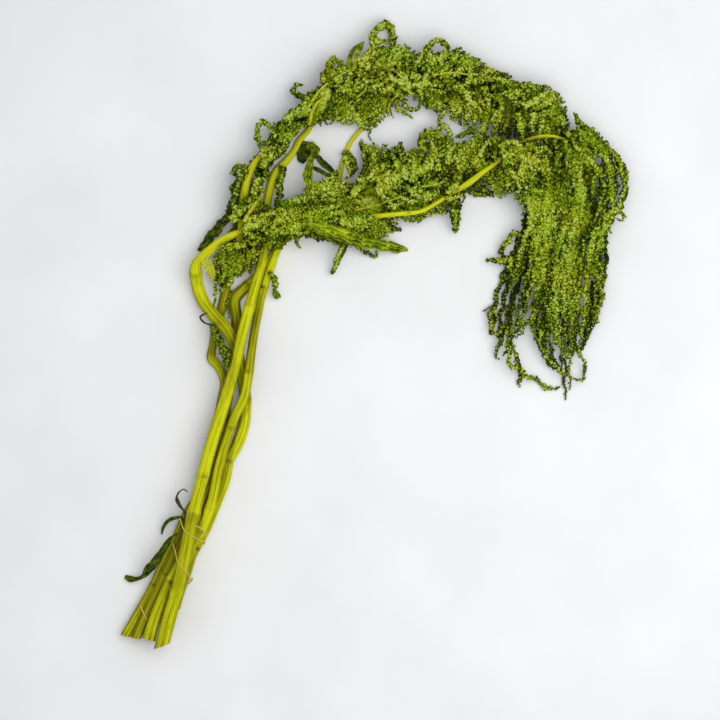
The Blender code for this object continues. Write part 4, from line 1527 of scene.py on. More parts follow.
    def finish_ends(self, rod: Piece) -> None:
        """Cuts the lower end at a slant, hollows its pith a little and closes the top.

        Args:
            rod: The bent rod.
        """
        at = self.path[round(self.cut_at / STEP)]
        tip = Vector(self.path[-1, :3] * MM)
        slant = math.radians(self.cut)
        bpy.context.view_layer.objects.active = rod
        bpy.ops.object.mode_set(mode="EDIT")
        bpy.ops.mesh.select_mode(type="EDGE")
        pick(rod, Part.EDGES, lambda edge: (
            edge.is_boundary and (edge.verts[0].co - tip).length < 20 * MM))
        bpy.ops.mesh.edge_face_add()
        bpy.ops.mesh.select_all(action="SELECT")
        bpy.ops.mesh.bisect(
            plane_co=at[:3] * MM, plane_no=(-math.sin(slant), math.cos(slant), 0.12),
            use_fill=True, clear_inner=True)
        bpy.ops.object.mode_set(mode="OBJECT")
        for face in rod.data.polygons:
            if face.select and len(face.vertices) > 8:
                face.material_index = 1
        bpy.ops.object.mode_set(mode="EDIT")
        bpy.ops.mesh.inset(thickness=0.9 * MM, depth=0.0)
        bpy.ops.mesh.inset(thickness=1.2 * MM, depth=-0.5 * MM)
        bpy.ops.object.mode_set(mode="OBJECT")
        deselect()
        rod.select_set(True)
        bpy.ops.object.shade_smooth_by_angle(angle=math.radians(50))

    def build(self, skin: Material, pith: Material, depth: Callable[[Rows], Rows]) -> None:
        """Makes the stem and hands it over in place of the CAD one.

        Args:
            skin: Material along the stem.
            pith: Material of the cut end.
            depth: How far places lie below the ridges round them.
        """
        rod = self.rod()
        rod.data.materials.append(skin)
        rod.data.materials.append(pith)
        self.shape(rod, depth)
        self.finish_ends(rod)
        hand_over(rod, self.name)


# Leaves, tassels, thin stalks and thread

@dataclass
class Leaf:
    """A shrivelled leaf that lies where the CAD leaf does."""

    name: str
    route: Route
    widths: tuple[float, ...]
    curl: float = 1.6
    seed: int = 1
    slot: str = "dry_leaf"
    on_top: bool = False
    fresh: bool = False
    ragged: float = 0.14
    lengthways: int = 40
    across: int = 10
    thick: float = 0.45

    def heights(self, line: Rows, bed: Bed) -> Rows:
        """Heights along the leaf: those of the CAD leaf, or of what it lies on.

        Args:
            line: Rows of x and y.
            bed: What has been laid.

        Returns:
            Height of each row.
        """
        if not self.on_top:
            return Gauge((self.name,)).middles(line)
        return bent(bed.rest(balls(line, 2.0)) - 1.2, distance_along(line), 14.0)

    def bent_blade(self, flat: Rows, path: Rows) -> Rows:
        """Bends and crumples the blade.

        Args:
            flat: Places of a flat square from -1 to 1, whose x runs along the blade.
            path: Rows of x, y and z along the middle of the leaf.

        Returns:
            The new places in millimetres.
        """
        along = distance_along(path)
        _, side, up = headings(path)
        share, across = (flat[:, 0] + 1) / 2, flat[:, 1]
        at = share * along[-1]
        half = spread(self.widths, share) / 2
        shift = (across > 0) * 0.5
        edge = 1 + self.ragged * (ripple(at / 14.0 + shift, self.seed)
                                  + 0.4 * ripple(at / 6.5 + shift, self.seed + 2))
        row, aside, upward = (read_at(at, along, rows) for rows in (path, side, up))
        fold = self.curl * across ** 2 * (0.6 + 0.6 * ripple(at / 30.0, self.seed + 5))
        crease = 0.5 * across * ripple(at / 9.0, self.seed + 9) - 0.35 * (np.abs(across) < 0.08)
        lift = (fold + crease) * np.minimum(half / 3.0, 1.0)
        spot = row + aside * (half * edge * across)[:, None] + upward * lift[:, None]
        spot[:, 2] = np.maximum(spot[:, 2], self.thick)
        return spot

    def build(self, finish: Material, bed: Bed) -> None:
        """Models the blade from a flat grid, then bends, crumples and thickens it.

        Args:
            finish: Material of the leaf.
            bed: What has been laid.
        """
        line = smooth(self.route, 1.0)
        path = np.column_stack([line, self.heights(line, bed)])
        deselect()
        bpy.ops.mesh.primitive_grid_add(
            x_subdivisions=self.lengthways, y_subdivisions=self.across, size=2.0)
        blade = take_name(self.name + "_blade")
        move_to(blade, self.bent_blade(places_of(blade), path) * MM)
        wall = blade.modifiers.new("Blade thickness", "SOLIDIFY")
        wall.thickness = self.thick * MM
        wall.offset = 0.0
        bpy.ops.object.modifier_apply(modifier=wall.name)
        softened = blade.modifiers.new("Soft edges", "SUBSURF")
        softened.levels = softened.render_levels = 1
        bpy.ops.object.modifier_apply(modifier=softened.name)
        bpy.ops.object.shade_smooth()
        blade.data.materials.append(finish)
        hand_over(blade, self.name if self.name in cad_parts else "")


def rod_through(name: str, path: Rows, finish: Material) -> Piece:
    """A closed round rod through x, y, z and radius rows.

    Args:
        name: Name of the object.
        path: Its middle line and radius in millimetres.
        finish: Its material.

    Returns:
        The mesh object.
    """
    deselect()
    bpy.ops.curve.primitive_nurbs_path_add()
    rod = take_name(name)
    curve = rod.data
    curve.splines.clear()
    spline = curve.splines.new("POLY")
    spline.points.add(len(path) - 1)
    for point, (x, y, z, radius) in zip(spline.points, path):
        point.co = (x * MM, y * MM, z * MM, 1.0)
        point.radius = radius
    curve.dimensions = "3D"
    curve.bevel_depth = MM
    curve.bevel_resolution = 2
    curve.use_fill_caps = True
    bpy.ops.object.convert(target="MESH")
    bpy.ops.object.shade_smooth()
    rod = bpy.context.object
    rod.data.materials.append(finish)
    return rod


def along_node(name: str, line: Rows, radii: Sequence[float]) -> Rows:
    """Rows of x, y, z and radius along a CAD node.

    Args:
        name: Name of the node.
        line: Rows of x and y.
        radii: Evenly spaced radii from end to end.

    Returns:
        The rows, halfway up through the node.
    """
    radius = spread(radii, np.linspace(0, 1, len(line)))
    return np.column_stack([line, Gauge((name,)).middles(line), radius])


@dataclass
class Tassel:
    """A short strand of florets on a bare stem."""

    name: str
    route: Route
    radii: tuple[float, ...]
    tone: float
    seed: int

    def build(self, coat: FloretCoat, finish: Material) -> None:
        """Covers the CAD tassel's line with florets.

        Args:
            coat: How a strand is covered.
            finish: Material of the florets.
        """
        path = along_node(self.name, smooth(self.route), self.radii)
        path[:, 2] = np.maximum(path[:, 2], path[:, 3])
        heap = Heap()
        coat.dress(path, heap, self.tone, np.random.default_rng(self.seed))
        hand_over(heap.piece(self.name + "_florets", finish), self.name)


@dataclass
class Twig:
    """A shrivelled leaf stalk that curls off a stem."""

    name: str
    route: Route
    radii: tuple[float, ...]
    seed: int

    def build(self, finish: Material) -> None:
        """Makes the stalk along the CAD one, a little knotty.

        Args:
            finish: Material of the stalk.
        """
        path = along_node(self.name, smooth(self.route, 0.8), self.radii)
        path[:, 3] *= 1 + 0.2 * ripple(distance_along(path) / 7.0, self.seed)
        hand_over(rod_through(self.name + "_stalk", path, finish), self.name)


@dataclass
class Rib:
    """A thin bare side stalk that shows between the florets."""

    route: Route
    radius: float
    sink: float = 0.35
    tip: float = 0.55

    def build(self, name: str, finish: Material, bed: Bed) -> None:
        """Lays the stalk on the florets, a little sunk in.

        Args:
            name: Name of the piece.
            finish: Material of the stalk.
            bed: What has been laid.
        """
        rows = balls(smooth(self.route), self.radius)
        height = np.minimum(bed.rest(rows) - self.sink * self.radius, bed.headroom(rows))
        radius = self.radius * np.linspace(1.0, self.tip, len(rows))
        path = np.column_stack([rows[:, :2], height, radius])
        hand_over(rod_through(name, path, finish))


@dataclass
class Thread:
    """Straw thread of the tie: slanting turns over the bundle, a knot and a loose end."""

    turns: tuple[Route, ...]
    knot: Place
    loose: Route
    radius: float = 0.55
    taut: float = 9.0
    knot_size: Place = (1.5, 1.3)
    knot_turns: float = 2.5

    def over(self, line: Rows) -> Rows:
        """Heights along a line that is pulled tight over the stems.

        Args:
            line: Rows of x and y.

        Returns:
            Height of each row.
        """
        need = np.zeros(len(line))
        for stem in STEMS:
            apart = np.linalg.norm(line[:, None, :2] - stem.path[None, :, :2], axis=2)
            rise = stem.path[None, :, 3] ** 2 - apart ** 2
            tops = np.where(rise > 0, stem.path[None, :, 2] + np.sqrt(np.maximum(rise, 0.0)), 0.0)
            need = np.maximum(need, tops.max(axis=1))
        return bent(need + 0.6 * self.radius, distance_along(line), self.taut)

    def build(self, finish: Material) -> None:
        """Makes the turns, which pass under the bundle between them, and the knot.

        Args:
            finish: Material of the thread.
        """
        low, points = self.radius, []
        for number, turn in enumerate(self.turns):
            line = smooth(turn, 0.9)
            if number:
                (x0, y0), (x1, y1) = points[-1][:2], line[0]
                points += [(x0 + 1.2, y0 - 1.5, low + 3), (x0 + 0.4, y0 - 3, low),
                           ((x0 + x1) / 2, (y0 + y1) / 2, low), (x1 - 0.4, y1 + 3, low),
                           (x1 - 1.2, y1 + 1.5, low + 3)]
            points += [tuple(row) for row in np.column_stack([line, self.over(line)])]
        line = smooth(points, 0.8)
        line[:, 2] = np.maximum(line[:, 2], low)
        self.strand("tie_turns", line, finish)
        t = np.linspace(0, 1, 40)
        x, y = self.knot
        top = float(self.over(np.array([[x - 1, y], [x, y]]))[1])
        wide, tall = self.knot_size
        round_about = self.knot_turns * TURN * t
        self.strand("tie_knot", np.column_stack([
            x + wide * np.cos(round_about), y + tall * np.sin(round_about),
            top + 0.5 + 0.7 * np.sin(4 * TURN * t)]), finish)
        line = smooth(self.loose, 0.8)
        self.strand("tie_loose_end", np.column_stack([line, self.over(line) + 0.7]), finish)

    def strand(self, name: str, line: Rows, finish: Material) -> None:
        """One stretch of thread through x, y and z rows.

        Args:
            name: Name of the piece.
            line: The rows.
            finish: Material of the thread.
        """
        path = np.column_stack([line, np.full(len(line), self.radius)])
        node = "tie_thread" if name == "tie_turns" else ""
        hand_over(rod_through(name, path, finish), node)


# The scene round the bunch

@dataclass
class Studio:
    """White table, soft light from the right and a camera straight above."""

    middle: Place = (-16.5, -26.4)
    field: float = 648.0
    lens: float = 200.0
    sensor: float = 36.0
    floor_size: float = 8.0
    lamp_place: tuple[float, float, float] = (0.38, 0.0, 1.2)
    lamp_side: float = 1.3
    lamp_watts: float = 11.5
    sky: float = 0.52
    sky_colour: str = "#F7F9FF"

    def build(self) -> None:
        """Makes the table, the lamp, the sky and the camera."""
        x, y = self.middle[0] * MM, self.middle[1] * MM
        deselect()
        bpy.ops.mesh.primitive_plane_add(size=self.floor_size, location=(0, 0, -0.4 * MM))
        table = take_name("table")
        table.data.materials.append(Tabletop().make())
        distance = self.field * MM * self.lens / self.sensor
        bpy.ops.object.camera_add(location=(x, y, distance + 12 * MM), rotation=(0, 0, 0))
        camera = bpy.context.object
        camera.data.lens = self.lens
        camera.data.sensor_width = self.sensor
        bpy.context.scene.camera = camera
        bpy.ops.object.light_add(type="AREA", location=self.lamp_place)
        lamp = take_name("window")
        lamp.data.size = self.lamp_side
        lamp.data.energy = self.lamp_watts
        towards = Vector((x, y, 0)) - Vector(self.lamp_place)
        lamp.rotation_euler = towards.to_track_quat("-Z", "Y").to_euler()
        world = bpy.data.worlds.new("studio")
        world.use_nodes = True
        sky = world.node_tree.nodes["Background"]
        sky.inputs["Color"].default_value = linear(self.sky_colour)
        sky.inputs["Strength"].default_value = self.sky
        bpy.context.scene.world = world
        bpy.context.scene.view_settings.view_transform = "Standard"


# Sizes and routes of this bunch

STEMS = (
    Stem("left_stalk", (
        (-230.5, -280, 4.6), (-213.5, -250, 4.5), (-201, -228, 4.5), (-192, -207, 4.5),
        (-183.5, -191, 4.4), (-175.5, -172, 4.4), (-164, -151, 4.3), (-154, -121, 4.2),
        (-147, -89, 4.2), (-141, -62, 4.2), (-138.8, -45, 4.2), (-143.6, -33, 4.2),
        (-150.5, -24, 4.0), (-149.5, -15, 3.6), (-148, -4, 3.5), (-145, 8, 3.6), (-141.5, 19, 4.1),
        (-139, 30, 4.2), (-135, 46, 3.4), (-130, 64, 3.2), (-125, 82, 3.1), (-122, 104, 3.4),
        (-119.5, 127, 3.8), (-115, 143, 3.4), (-107, 155, 2.4), (-95, 165, 1.6)),
        cut=-14, ribs=7, seed=11, joints=(58, 132, 205, 279, 318, 372), tone=-0.02,
        slot="olive_stem", cut_at=6.5),
    Stem("kinked_stalk", (
        (-220.5, -282, 4.4), (-206, -250, 4.4), (-195, -227, 4.4), (-185, -206, 4.4),
        (-175, -187, 4.4), (-164, -166, 4.4), (-154, -139, 4.3), (-147, -107, 4.4),
        (-139.5, -80, 4.6), (-134.4, -58, 3.8), (-131.2, -35, 4.3), (-129, -13, 4.5),
        (-127.6, 10, 5.0), (-128.8, 30, 5.4), (-119.8, 39, 4.8), (-110, 49, 3.6), (-100, 62, 2.8),
        (-92, 75, 2.6), (-83, 85, 2.4), (-69, 91, 2.2), (-43, 93, 1.8), (-18, 90, 1.4)),
        cut=-10, ribs=6, seed=12, joints=(70, 150, 228, 300, 346), tone=-0.06,
        slot="olive_stem", cut_at=6.5),
    Stem("arched_stalk", (
        (-189.2, -275, 5.8), (-181.5, -242, 5.2), (-174.3, -221, 4.9), (-166, -197, 4.9),
        (-157.5, -182, 4.9), (-151.3, -168, 4.8), (-144.5, -152, 4.7), (-138.3, -136, 4.7),
        (-134.5, -118, 4.7), (-126.4, -101, 5.2), (-121.2, -85, 5.1), (-119.6, -67, 5.2),
        (-121, -49, 5.3), (-123.5, -31, 4.9), (-128.5, -14, 5.1), (-136.5, 1, 5.4),
        (-150, 16, 5.6), (-158, 27, 5.6), (-162.5, 39, 5.6), (-164, 50, 5.5), (-164, 58.5, 4.9),
        (-158.5, 65.5, 4.5), (-150, 73, 4.0), (-140, 80.5, 3.8), (-130, 86, 3.4), (-120, 90, 3.0),
        (-97, 94, 2.6), (-71, 98, 2.2), (-39, 101, 2.0), (-7, 102, 1.8), (19, 104.5, 2.1),
        (38, 107, 1.9), (54, 115.5, 1.7), (68, 124.5, 1.9), (75, 128.5, 2.6), (82, 133, 2.9),
        (91, 140, 2.4), (102, 147.5, 1.8), (116, 158, 1.5), (124, 165, 1.5), (137, 172, 1.6),
        (154, 174, 1.3), (166, 171.5, 1.1), (176, 169, 0.8)),
        cut=10, ribs=7, seed=13, joints=(84, 224, 300, 352, 560, 610), pinches=(167, 409),
        tone=0.06, cut_at=24),
    Stem("right_stalk", (
        (-208.5, -286, 6.2), (-203, -266, 6.0), (-197, -250, 5.5), (-186, -224, 5.0),
        (-174.5, -203, 4.7), (-162, -184, 4.6), (-151, -157, 4.6), (-144, -125, 4.6),
        (-137.5, -101, 4.5), (-130, -79, 4.4), (-120.5, -59, 4.2), (-116.3, -36, 4.1),
        (-113.4, -13, 4.0), (-108.8, 14, 3.8), (-103, 39, 3.7), (-97, 56, 3.6), (-90, 74, 3.0),
        (-74, 92, 2.6), (-54, 113, 2.3), (-36, 136, 2.0), (-31.5, 154, 2.0), (-25, 170, 1.9),
        (-13, 184, 1.8), (3, 199, 1.6), (21, 211, 1.5)),
        cut=-16, ribs=6, seed=14, joints=(64, 140, 214, 268, 345, 430), tone=0.02, cut_at=9),
    Stem("main_stalk", (
        (-196.3, -290, 6.4), (-186.4, -254, 6.2), (-178.4, -227, 6.1), (-172, -195, 6.2),
        (-166.2, -167, 5.9), (-159, -137, 5.5), (-152, -109, 5.5), (-146.5, -90, 5.5),
        (-137.5, -63, 5.3), (-132.5, -46, 5.1), (-128, -30, 4.9), (-122.5, -4, 4.8),
        (-115.5, 22, 4.8), (-109, 47, 4.4), (-104, 66, 4.1), (-102.5, 82, 3.8), (-102, 104, 3.5),
        (-99.5, 119, 3.6), (-96.5, 132, 3.8), (-92, 143, 3.7), (-86, 150, 3.4), (-80.5, 156, 3.1),
        (-75.5, 163, 2.9), (-71.5, 171, 2.8), (-63, 181, 2.5), (-55, 200, 2.2), (-41, 216, 1.8)),
        cut=20, ribs=6, seed=15, joints=(60, 127, 165, 246, 322, 400, 452), tone=0.05, cut_at=8),
)
# distance along these stems from which they lie on the florets
UPPER_FROM = {"left_stalk": 350.0, "arched_stalk": 365.0}

UPPER_ARM = Outline((
    (-137, 107), (-134, 118), (-131, 125), (-127, 136), (-123, 145), (-118, 151), (-112, 159),
    (-105, 165), (-98, 171), (-96, 180), (-95, 190), (-88, 190), (-78, 199), (-69, 207),
    (-67, 215), (-59, 216), (-52, 222), (-51, 232), (-44, 242), (-34, 244), (-26, 241),
    (-15, 244), (-8, 255), (12, 256), (25, 258), (36, 250), (44, 253), (56, 250), (64, 254),
    (76, 256), (84, 246), (93, 245), (99, 236), (107, 234), (117, 233), (125, 224), (137, 222),
    (152, 221), (163, 213), (171, 200), (174, 182), (169, 172), (150, 166), (128, 169),
    (100, 171), (84, 177), (73, 184), (59, 193), (41, 198), (36, 206), (27, 208), (16, 204),
    (9, 193), (-4, 181), (-15, 179), (-30, 187), (-45, 185.5), (-59, 179), (-67, 172), (-80, 163),
    (-85, 143), (-87, 119), (-96, 105), (-116, 101), (-130, 101)))
LOWER_ARM = Outline((
    (-124, 98), (-108, 105), (-92, 112), (-80, 121), (-70, 122), (-65, 128), (-54, 133),
    (-43, 140), (-36, 141), (-29, 139), (-26, 127), (-18.6, 132), (-12.5, 140), (-12.5, 157),
    (-17, 174), (-10, 168), (0, 171),
    (12, 165), (20, 172), (26, 158), (31, 167), (37, 163), (38, 174), (46, 180), (54, 174),
    (61, 181), (68, 168), (80, 175), (95, 180), (114, 173), (136, 171), (156, 163), (150, 136),
    (128, 124), (110, 119), (92, 119.5), (79, 124), (75, 113), (61, 105), (42, 101),
    (37, 95), (21, 97), (16, 94), (12, 86), (2, 80), (-4, 79), (-14, 75), (-24, 75), (-36, 76),
    (-46, 79),
    (-56, 82), (-68, 85), (-78, 82), (-87, 74), (-101, 77), (-119, 84)))
TAILS = Outline((
    (115, 125), (120, 137), (128, 154), (146, 166), (164, 173), (174, 178), (183, 184),
    (194, 183), (203, 173), (211, 164), (219, 148), (226, 134), (224, 120), (219, 107), (211, 91),
    (204, 74), (203, 62), (207, 49), (206, 35), (200, 20), (196, 6), (189, -7), (183, -21),
    (176, -37), (164, -39), (153, -25), (145, -10), (142, 8), (131, 4), (123, -10), (118, -21),
    (111, -10), (110, 2), (100, 10), (100, 22), (110, 37), (112, 51), (111, 64), (120, 69),
    (127, 80), (128, 96), (127, 112)))
CLUMP = Outline((
    (-149, 69), (-141, 76), (-130, 82), (-117, 83), (-105, 82), (-99, 76), (-106, 69),
    (-108, 58), (-113, 49), (-122, 47), (-130, 46), (-133, 36), (-147, 34), (-150, 47)))

LEFT_CORE = (
    (-139, 75, 6), (-126, 95, 6.5), (-112, 111, 6.5), (-109, 131, 7), (-103, 149, 8),
    (-89, 171, 9), (-73, 191, 9), (-55, 208, 9))
OUTER_CORE = (
    (-45, 215, 8), (-12, 228, 11), (19, 233, 11), (51, 231, 12), (83, 224, 12), (114, 210, 11),
    (138, 195, 10), (155, 185, 7))
LOW_CORE = ((-104, 85, 6), (-83, 103, 8), (-57, 114, 9), (-30, 119, 9), (-5, 122, 8))
INNER_CORE = (
    (1, 123, 8), (39, 134, 9), (69, 143, 9), (96, 152, 8), (121, 159, 7), (143, 162, 5))
RIGHT_CORE = (
    (101, 199, 4), (137, 193, 5), (160, 182, 7), (173, 168, 8), (179, 150, 8), (181, 130, 7),
    (181, 108, 5))
CLUMP_CORE = ((-104, 82, 3), (-118, 76, 5), (-130, 66, 7), (-139, 54, 6), (-142, 42, 4))

INNER_SHEAF = (
    ((128, 146), (133, 124), (134, 104), (129, 80), (117, 54), (108, 28), (104, 6), (105, -8),
     (109, -20)),
    ((160, 162), (158, 138), (154, 108), (149, 80), (145, 52), (141, 28), (135, 9), (124, -6),
     (115, -22)))
RIGHT_SHEAF = (
    ((160, 168), (158, 140), (154, 110), (150, 80), (147, 50), (144, 22), (144, -4), (152, -24),
     (164, -42)),
    ((178, 178), (205, 164), (221, 140), (218, 114), (205, 88), (203, 62), (201.5, 34), (192, 2),
     (182, -28)))
HOLES = (
    ((199, 162, 0.6), (200, 157, 1.6), (198, 151, 0.6)),
    ((196, 140, 0.4), (194, 135, 1.2), (194, 130, 0.4)),
    ((191, 120, 0.6), (192, 112, 0.4)))

OUTER_LOOPS = (
    (((-4, 252), (-4.6, 263), (-1.5, 271), (6, 275.5), (12, 271), (13.5, 262), (11, 253)), 3.9),
    (((-5, 250), (3, 253), (12, 250)), 3.4),
    (((42, 248), (46, 256.5), (54, 260.5), (61, 258), (63, 250)), 3.3),
    (((-47, 227), (-45, 238), (-39, 244), (-34, 240), (-34, 231)), 3.2),
    (((-7, 257), (2, 260), (13, 257)), 3.4),
    (((16, 207), (19, 199), (25, 194), (31, 192)), 2.7),
    (((23, 209), (25, 201), (30, 198), (36, 201), (38, 209)), 2.7),
    (((12, 207), (10, 199), (13, 191)), 1.7),
    (((61, 200), (56, 191), (54, 180), (52, 172)), 2.4),
    (((-11, 182), (-7, 180), (-8, 175), (-6, 172)), 1.5))
LEFT_LOOPS = (
    (((-97, 171), (-105, 168), (-109, 174), (-108, 183), (-102, 188), (-97, 182), (-97, 172)), 2.9),
    (((-118, 142), (-122, 147), (-128, 146), (-131, 141), (-125, 138)), 3.4),
    (((-126, 119), (-132, 126), (-130, 132), (-125, 135)), 2.6),
    (((-64, 208), (-71, 211), (-76, 216), (-74, 221.5), (-68, 221)), 3.2))
INNER_LOOPS = (
    (((54, 161), (56, 170), (52, 177), (45, 178), (39, 172), (40, 164), (47, 162)), 4.2),
    (((58, 186), (62, 181), (66, 172), (67, 163)), 2.9),
    (((85, 181), (78, 178), (70, 175)), 3.4),
    (((62, 127), (67, 118), (69.4, 107), (69, 98), (70, 90)), 5.4),
    (((-6, 153), (-12, 161), (-18, 170)), 2.6),
    (((76, 128), (77, 119), (73, 113)), 2.0),
    (((38, 110), (37, 104), (38, 99)), 3.6))
LOW_LOOPS = (
    (((7, 95), (14, 92.5), (21, 91.5)), 3.8),
    (((-74, 87), (-73, 80), (-71, 74)), 2.8),
    (((-24, 82), (-16, 74), (-9, 69), (-2, 67), (-2, 72)), 2.3),
    (((-147, 55), (-147, 44), (-146, 35), (-148, 26), (-147, 19)), 2.1),
    (((-134, 42), (-134, 31), (-136, 20), (-134, 11)), 1.7))
TAIL_LOOPS = (
    (((129, 86), (121, 87), (116, 81), (112, 73), (111, 66), (117, 62)), 3.0),
    (((120, 60), (112, 64), (104, 63), (97, 63)), 3.4),
    (((123, 66), (118, 62), (118, 56), (122, 50)), 3.2),
    (((107, 20), (100, 21), (94, 18)), 1.5),
    (((106, 22), (100, 18), (99, 10)), 1.5),
    (((106, 20), (101, 11), (102, 2), (108, -3), (113, 4)), 2.4),
    (((112, -7), (107, -14), (106, -20), (109, -26)), 2.2),
    (((120, -13), (123, -23), (127, -32), (128, -41), (128, -51)), 2.8),
    (((115, 1), (117, -16), (118, -30), (126, -34), (136, -42), (146, -46), (153, -53), (164, -50)),
     2.5))
RIGHT_LOOPS = (
    (((166, -8), (169, -26), (168, -43), (168, -53), (170, -62)), 1.9),
    (((172, -13), (172, -31), (172, -43), (174, -53)), 1.8),
    (((180, -13), (183, -25), (187, -35), (182, -44), (172, -43)), 2.0),
    (((146, 1), (146, -13), (154, -26), (164, -36), (173, -43)), 2.7),
    (((190, 177), (183, 185), (175, 195)), 3.2),
    (((213, 110), (219, 104), (218, 98), (213, 100)), 2.2))

BARE_LOW = (
    ((-99.5, 118, 2.4), (-96.5, 132, 3.0), (-91, 144, 2.8), (-80.5, 156, 2.2), (-72, 171, 2.0),
     (-64, 181, 1.6)),
    ((-34, 138, 2.0), (-31, 154, 2.0), (-24, 170, 2.0), (-17, 178, 1.6)))
BARE_HIGH = (
    ((-163, 65, 4.0), (-153, 74, 3.6), (-138, 83, 3.0), (-128, 87, 2.0)),
    ((-121, 116, 1.6), (-120, 127, 2.6), (-116, 143, 2.6), (-108, 153, 1.8)),
    ((0, 102.5, 1.2), (19, 104.5, 2.0), (38, 107, 1.8), (50, 113, 1.2)),
    ((74, 128, 1.2), (81, 133, 2.2), (96, 144, 1.8), (104, 149, 1.0)),
    ((134, 171, 0.8), (146, 173, 1.2), (160, 173, 0.8)))

LEFT_FRONDS = (
    (((-86, 147), (-87, 140), (-89, 130), (-89, 120), (-90, 111), (-86, 102)), 3.6),
    (((-118, 144), (-125, 134), (-128, 121), (-133, 109), (-137, 99)), 3.3),
    (((-123, 127), (-131, 118), (-134, 107), (-130, 96)), 3.0),
    (((-132, 98), (-125, 104), (-118, 110), (-113, 112)), 2.7),
    (((-129, 110), (-122, 113), (-117, 119), (-112, 120)), 2.4))
LOW_FRONDS = (
    (((-31, 161), (-26, 158), (-22, 151), (-22, 144), (-26, 139)), 3.4),
    (((-30, 154), (-27, 150), (-26, 143), (-29, 135)), 3.2),
    (((-50, 127), (-44, 131), (-39, 137)), 3.4),
    (((-32, 79), (-35, 69), (-38, 61), (-42, 51)), 3.0),
    (((-52, 128), (-46, 136), (-41, 141), (-34, 145)), 3.0),
    (((-62, 122), (-56, 129), (-50, 131)), 2.8))

RIBS = (
    Rib(((-120, 97), (-116, 105), (-110, 114), (-104, 124)), 2.2),
    Rib(((-62, 184), (-59, 196), (-53, 205), (-43, 210)), 1.9),
    Rib(((-66, 194), (-55, 211), (-38, 227), (-20, 236)), 1.3),
    Rib(((-26, 205), (-18, 210), (-11, 216)), 1.2),
    Rib(((18, 212), (12, 207), (9, 200), (10.5, 194)), 1.1),
    Rib(((49, 229), (65, 231), (82, 229)), 1.1),
    Rib(((-20, 108), (0, 113), (22, 120)), 1.1),
    Rib(((30, 128), (52, 131), (72, 138)), 1.0))
# strands that cover a stretch of a stem: the head, its growth and the stretch
COVERS = (
    ("low", Growth(50, (10, 75), (14, 30), (10, 60), (0, 2), tone=-0.18),
     ((-122, 89), (-97, 94), (-71, 98), (-39, 101), (-12, 103))),
    ("low", Growth(14, (10, 75), (12, 22), (10, 60), (0, 2), tone=-0.1),
     ((-42, 101), (-25, 102), (-8, 103))),
    ("inner", Growth(8, (10, 75), (14, 28), (10, 60), (0, 2), tone=-0.14),
     ((60, 119), (69, 125), (77, 131))),
    ("inner", Growth(20, (10, 75), (12, 24), (10, 60), (0, 3), tone=-0.36),
     ((104, 149), (116, 158), (124, 165), (133, 170))),
    ("right", Growth(8, (10, 75), (14, 28), (10, 60), (0, 2), tone=-0.04),
     ((158, 174), (170, 171), (180, 168))),
    ("low", Growth(44, (-30, 60), (12, 26), (10, 60), (0, 4), tone=-0.22),
     ((-96, 72), (-86, 82), (-70, 89), (-43, 91), (-20, 88))),
    ("clump", Growth(30, (10, 100), (12, 26), (20, 90), (0, 7)), CLUMP_CORE),
    ("clump", Growth(16, (-10, 60), (12, 24), (10, 60), (0, 2)),
     ((-136, 50), (-132, 63), (-127, 80))))

LEAVES = (
    Leaf("leaf_base_long", (
        (-179.5, -181.5), (-187.4, -187), (-192, -194), (-196.4, -200.9), (-201, -207.9),
        (-206.7, -214.8), (-211.4, -220.6), (-215, -223), (-218.5, -224), (-223.5, -223.8),
        (-228.8, -222)),
        (1.2, 2.4, 3.5, 4.5, 4.9, 6.3, 7.8, 8.5, 7.0, 3.8, 3.4, 6.4, 3.4), curl=1.2, seed=21),
    Leaf("leaf_base_curled", (
        (-178, -177), (-176, -172), (-178, -168), (-183, -168.6), (-190, -171.8), (-194, -178),
        (-195.4, -184)),
        (1.6, 2.4, 3.0, 3.6, 3.2, 2.8, 1.0), curl=0.8, seed=22),
    Leaf("leaf_left", (
        (-121, 121), (-133, 106), (-143, 94), (-153, 82), (-161, 71)),
        (6.0, 8.0, 7.0, 8.5, 9.0, 8.0, 5.0), curl=1.6, seed=23, ragged=0.3),
    Leaf("leaf_curled", (
        (-62, 125), (-63, 137), (-62.5, 145), (-60.5, 153), (-57.5, 160), (-59, 166),
        (-64.5, 168)),
        (1.5, 7.5, 9.5, 7.5, 5.0, 7.0, 8.0, 5.0), curl=2.0, seed=24, fresh=True, ragged=0.2),
    Leaf("leaf_fork", ((-58, 160), (-53, 154), (-46, 147), (-41, 143), (-36, 139)),
         (3.6, 5.6, 6.4, 4.6, 3.0), curl=1.2, seed=25),
    Leaf("leaf_low", (
        (-70.5, 97.5), (-54, 93), (-36, 89), (-24, 84.5), (-9.5, 79.5), (6, 76), (19, 74.4),
        (27, 72.6)),
        (2.0, 6.0, 8.5, 11.0, 12.5, 11.5, 10.5, 10.5, 9.5, 2.0), curl=1.5, seed=26, on_top=True,
        fresh=True, ragged=0.3),
    Leaf("leaf_dark", ((-27, 86), (-32, 74), (-37, 62), (-42, 51)),
         (5.0, 8.0, 7.0, 5.5, 4.5, 3.0), curl=1.2, seed=27),
    Leaf("leaf_top", ((-25.3, 232), (-26.2, 242), (-23.4, 250.5), (-18.2, 256.3), (-13, 260)),
         (3.0, 4.0, 4.3, 3.6, 1.4), curl=0.9, seed=28, fresh=True),
)
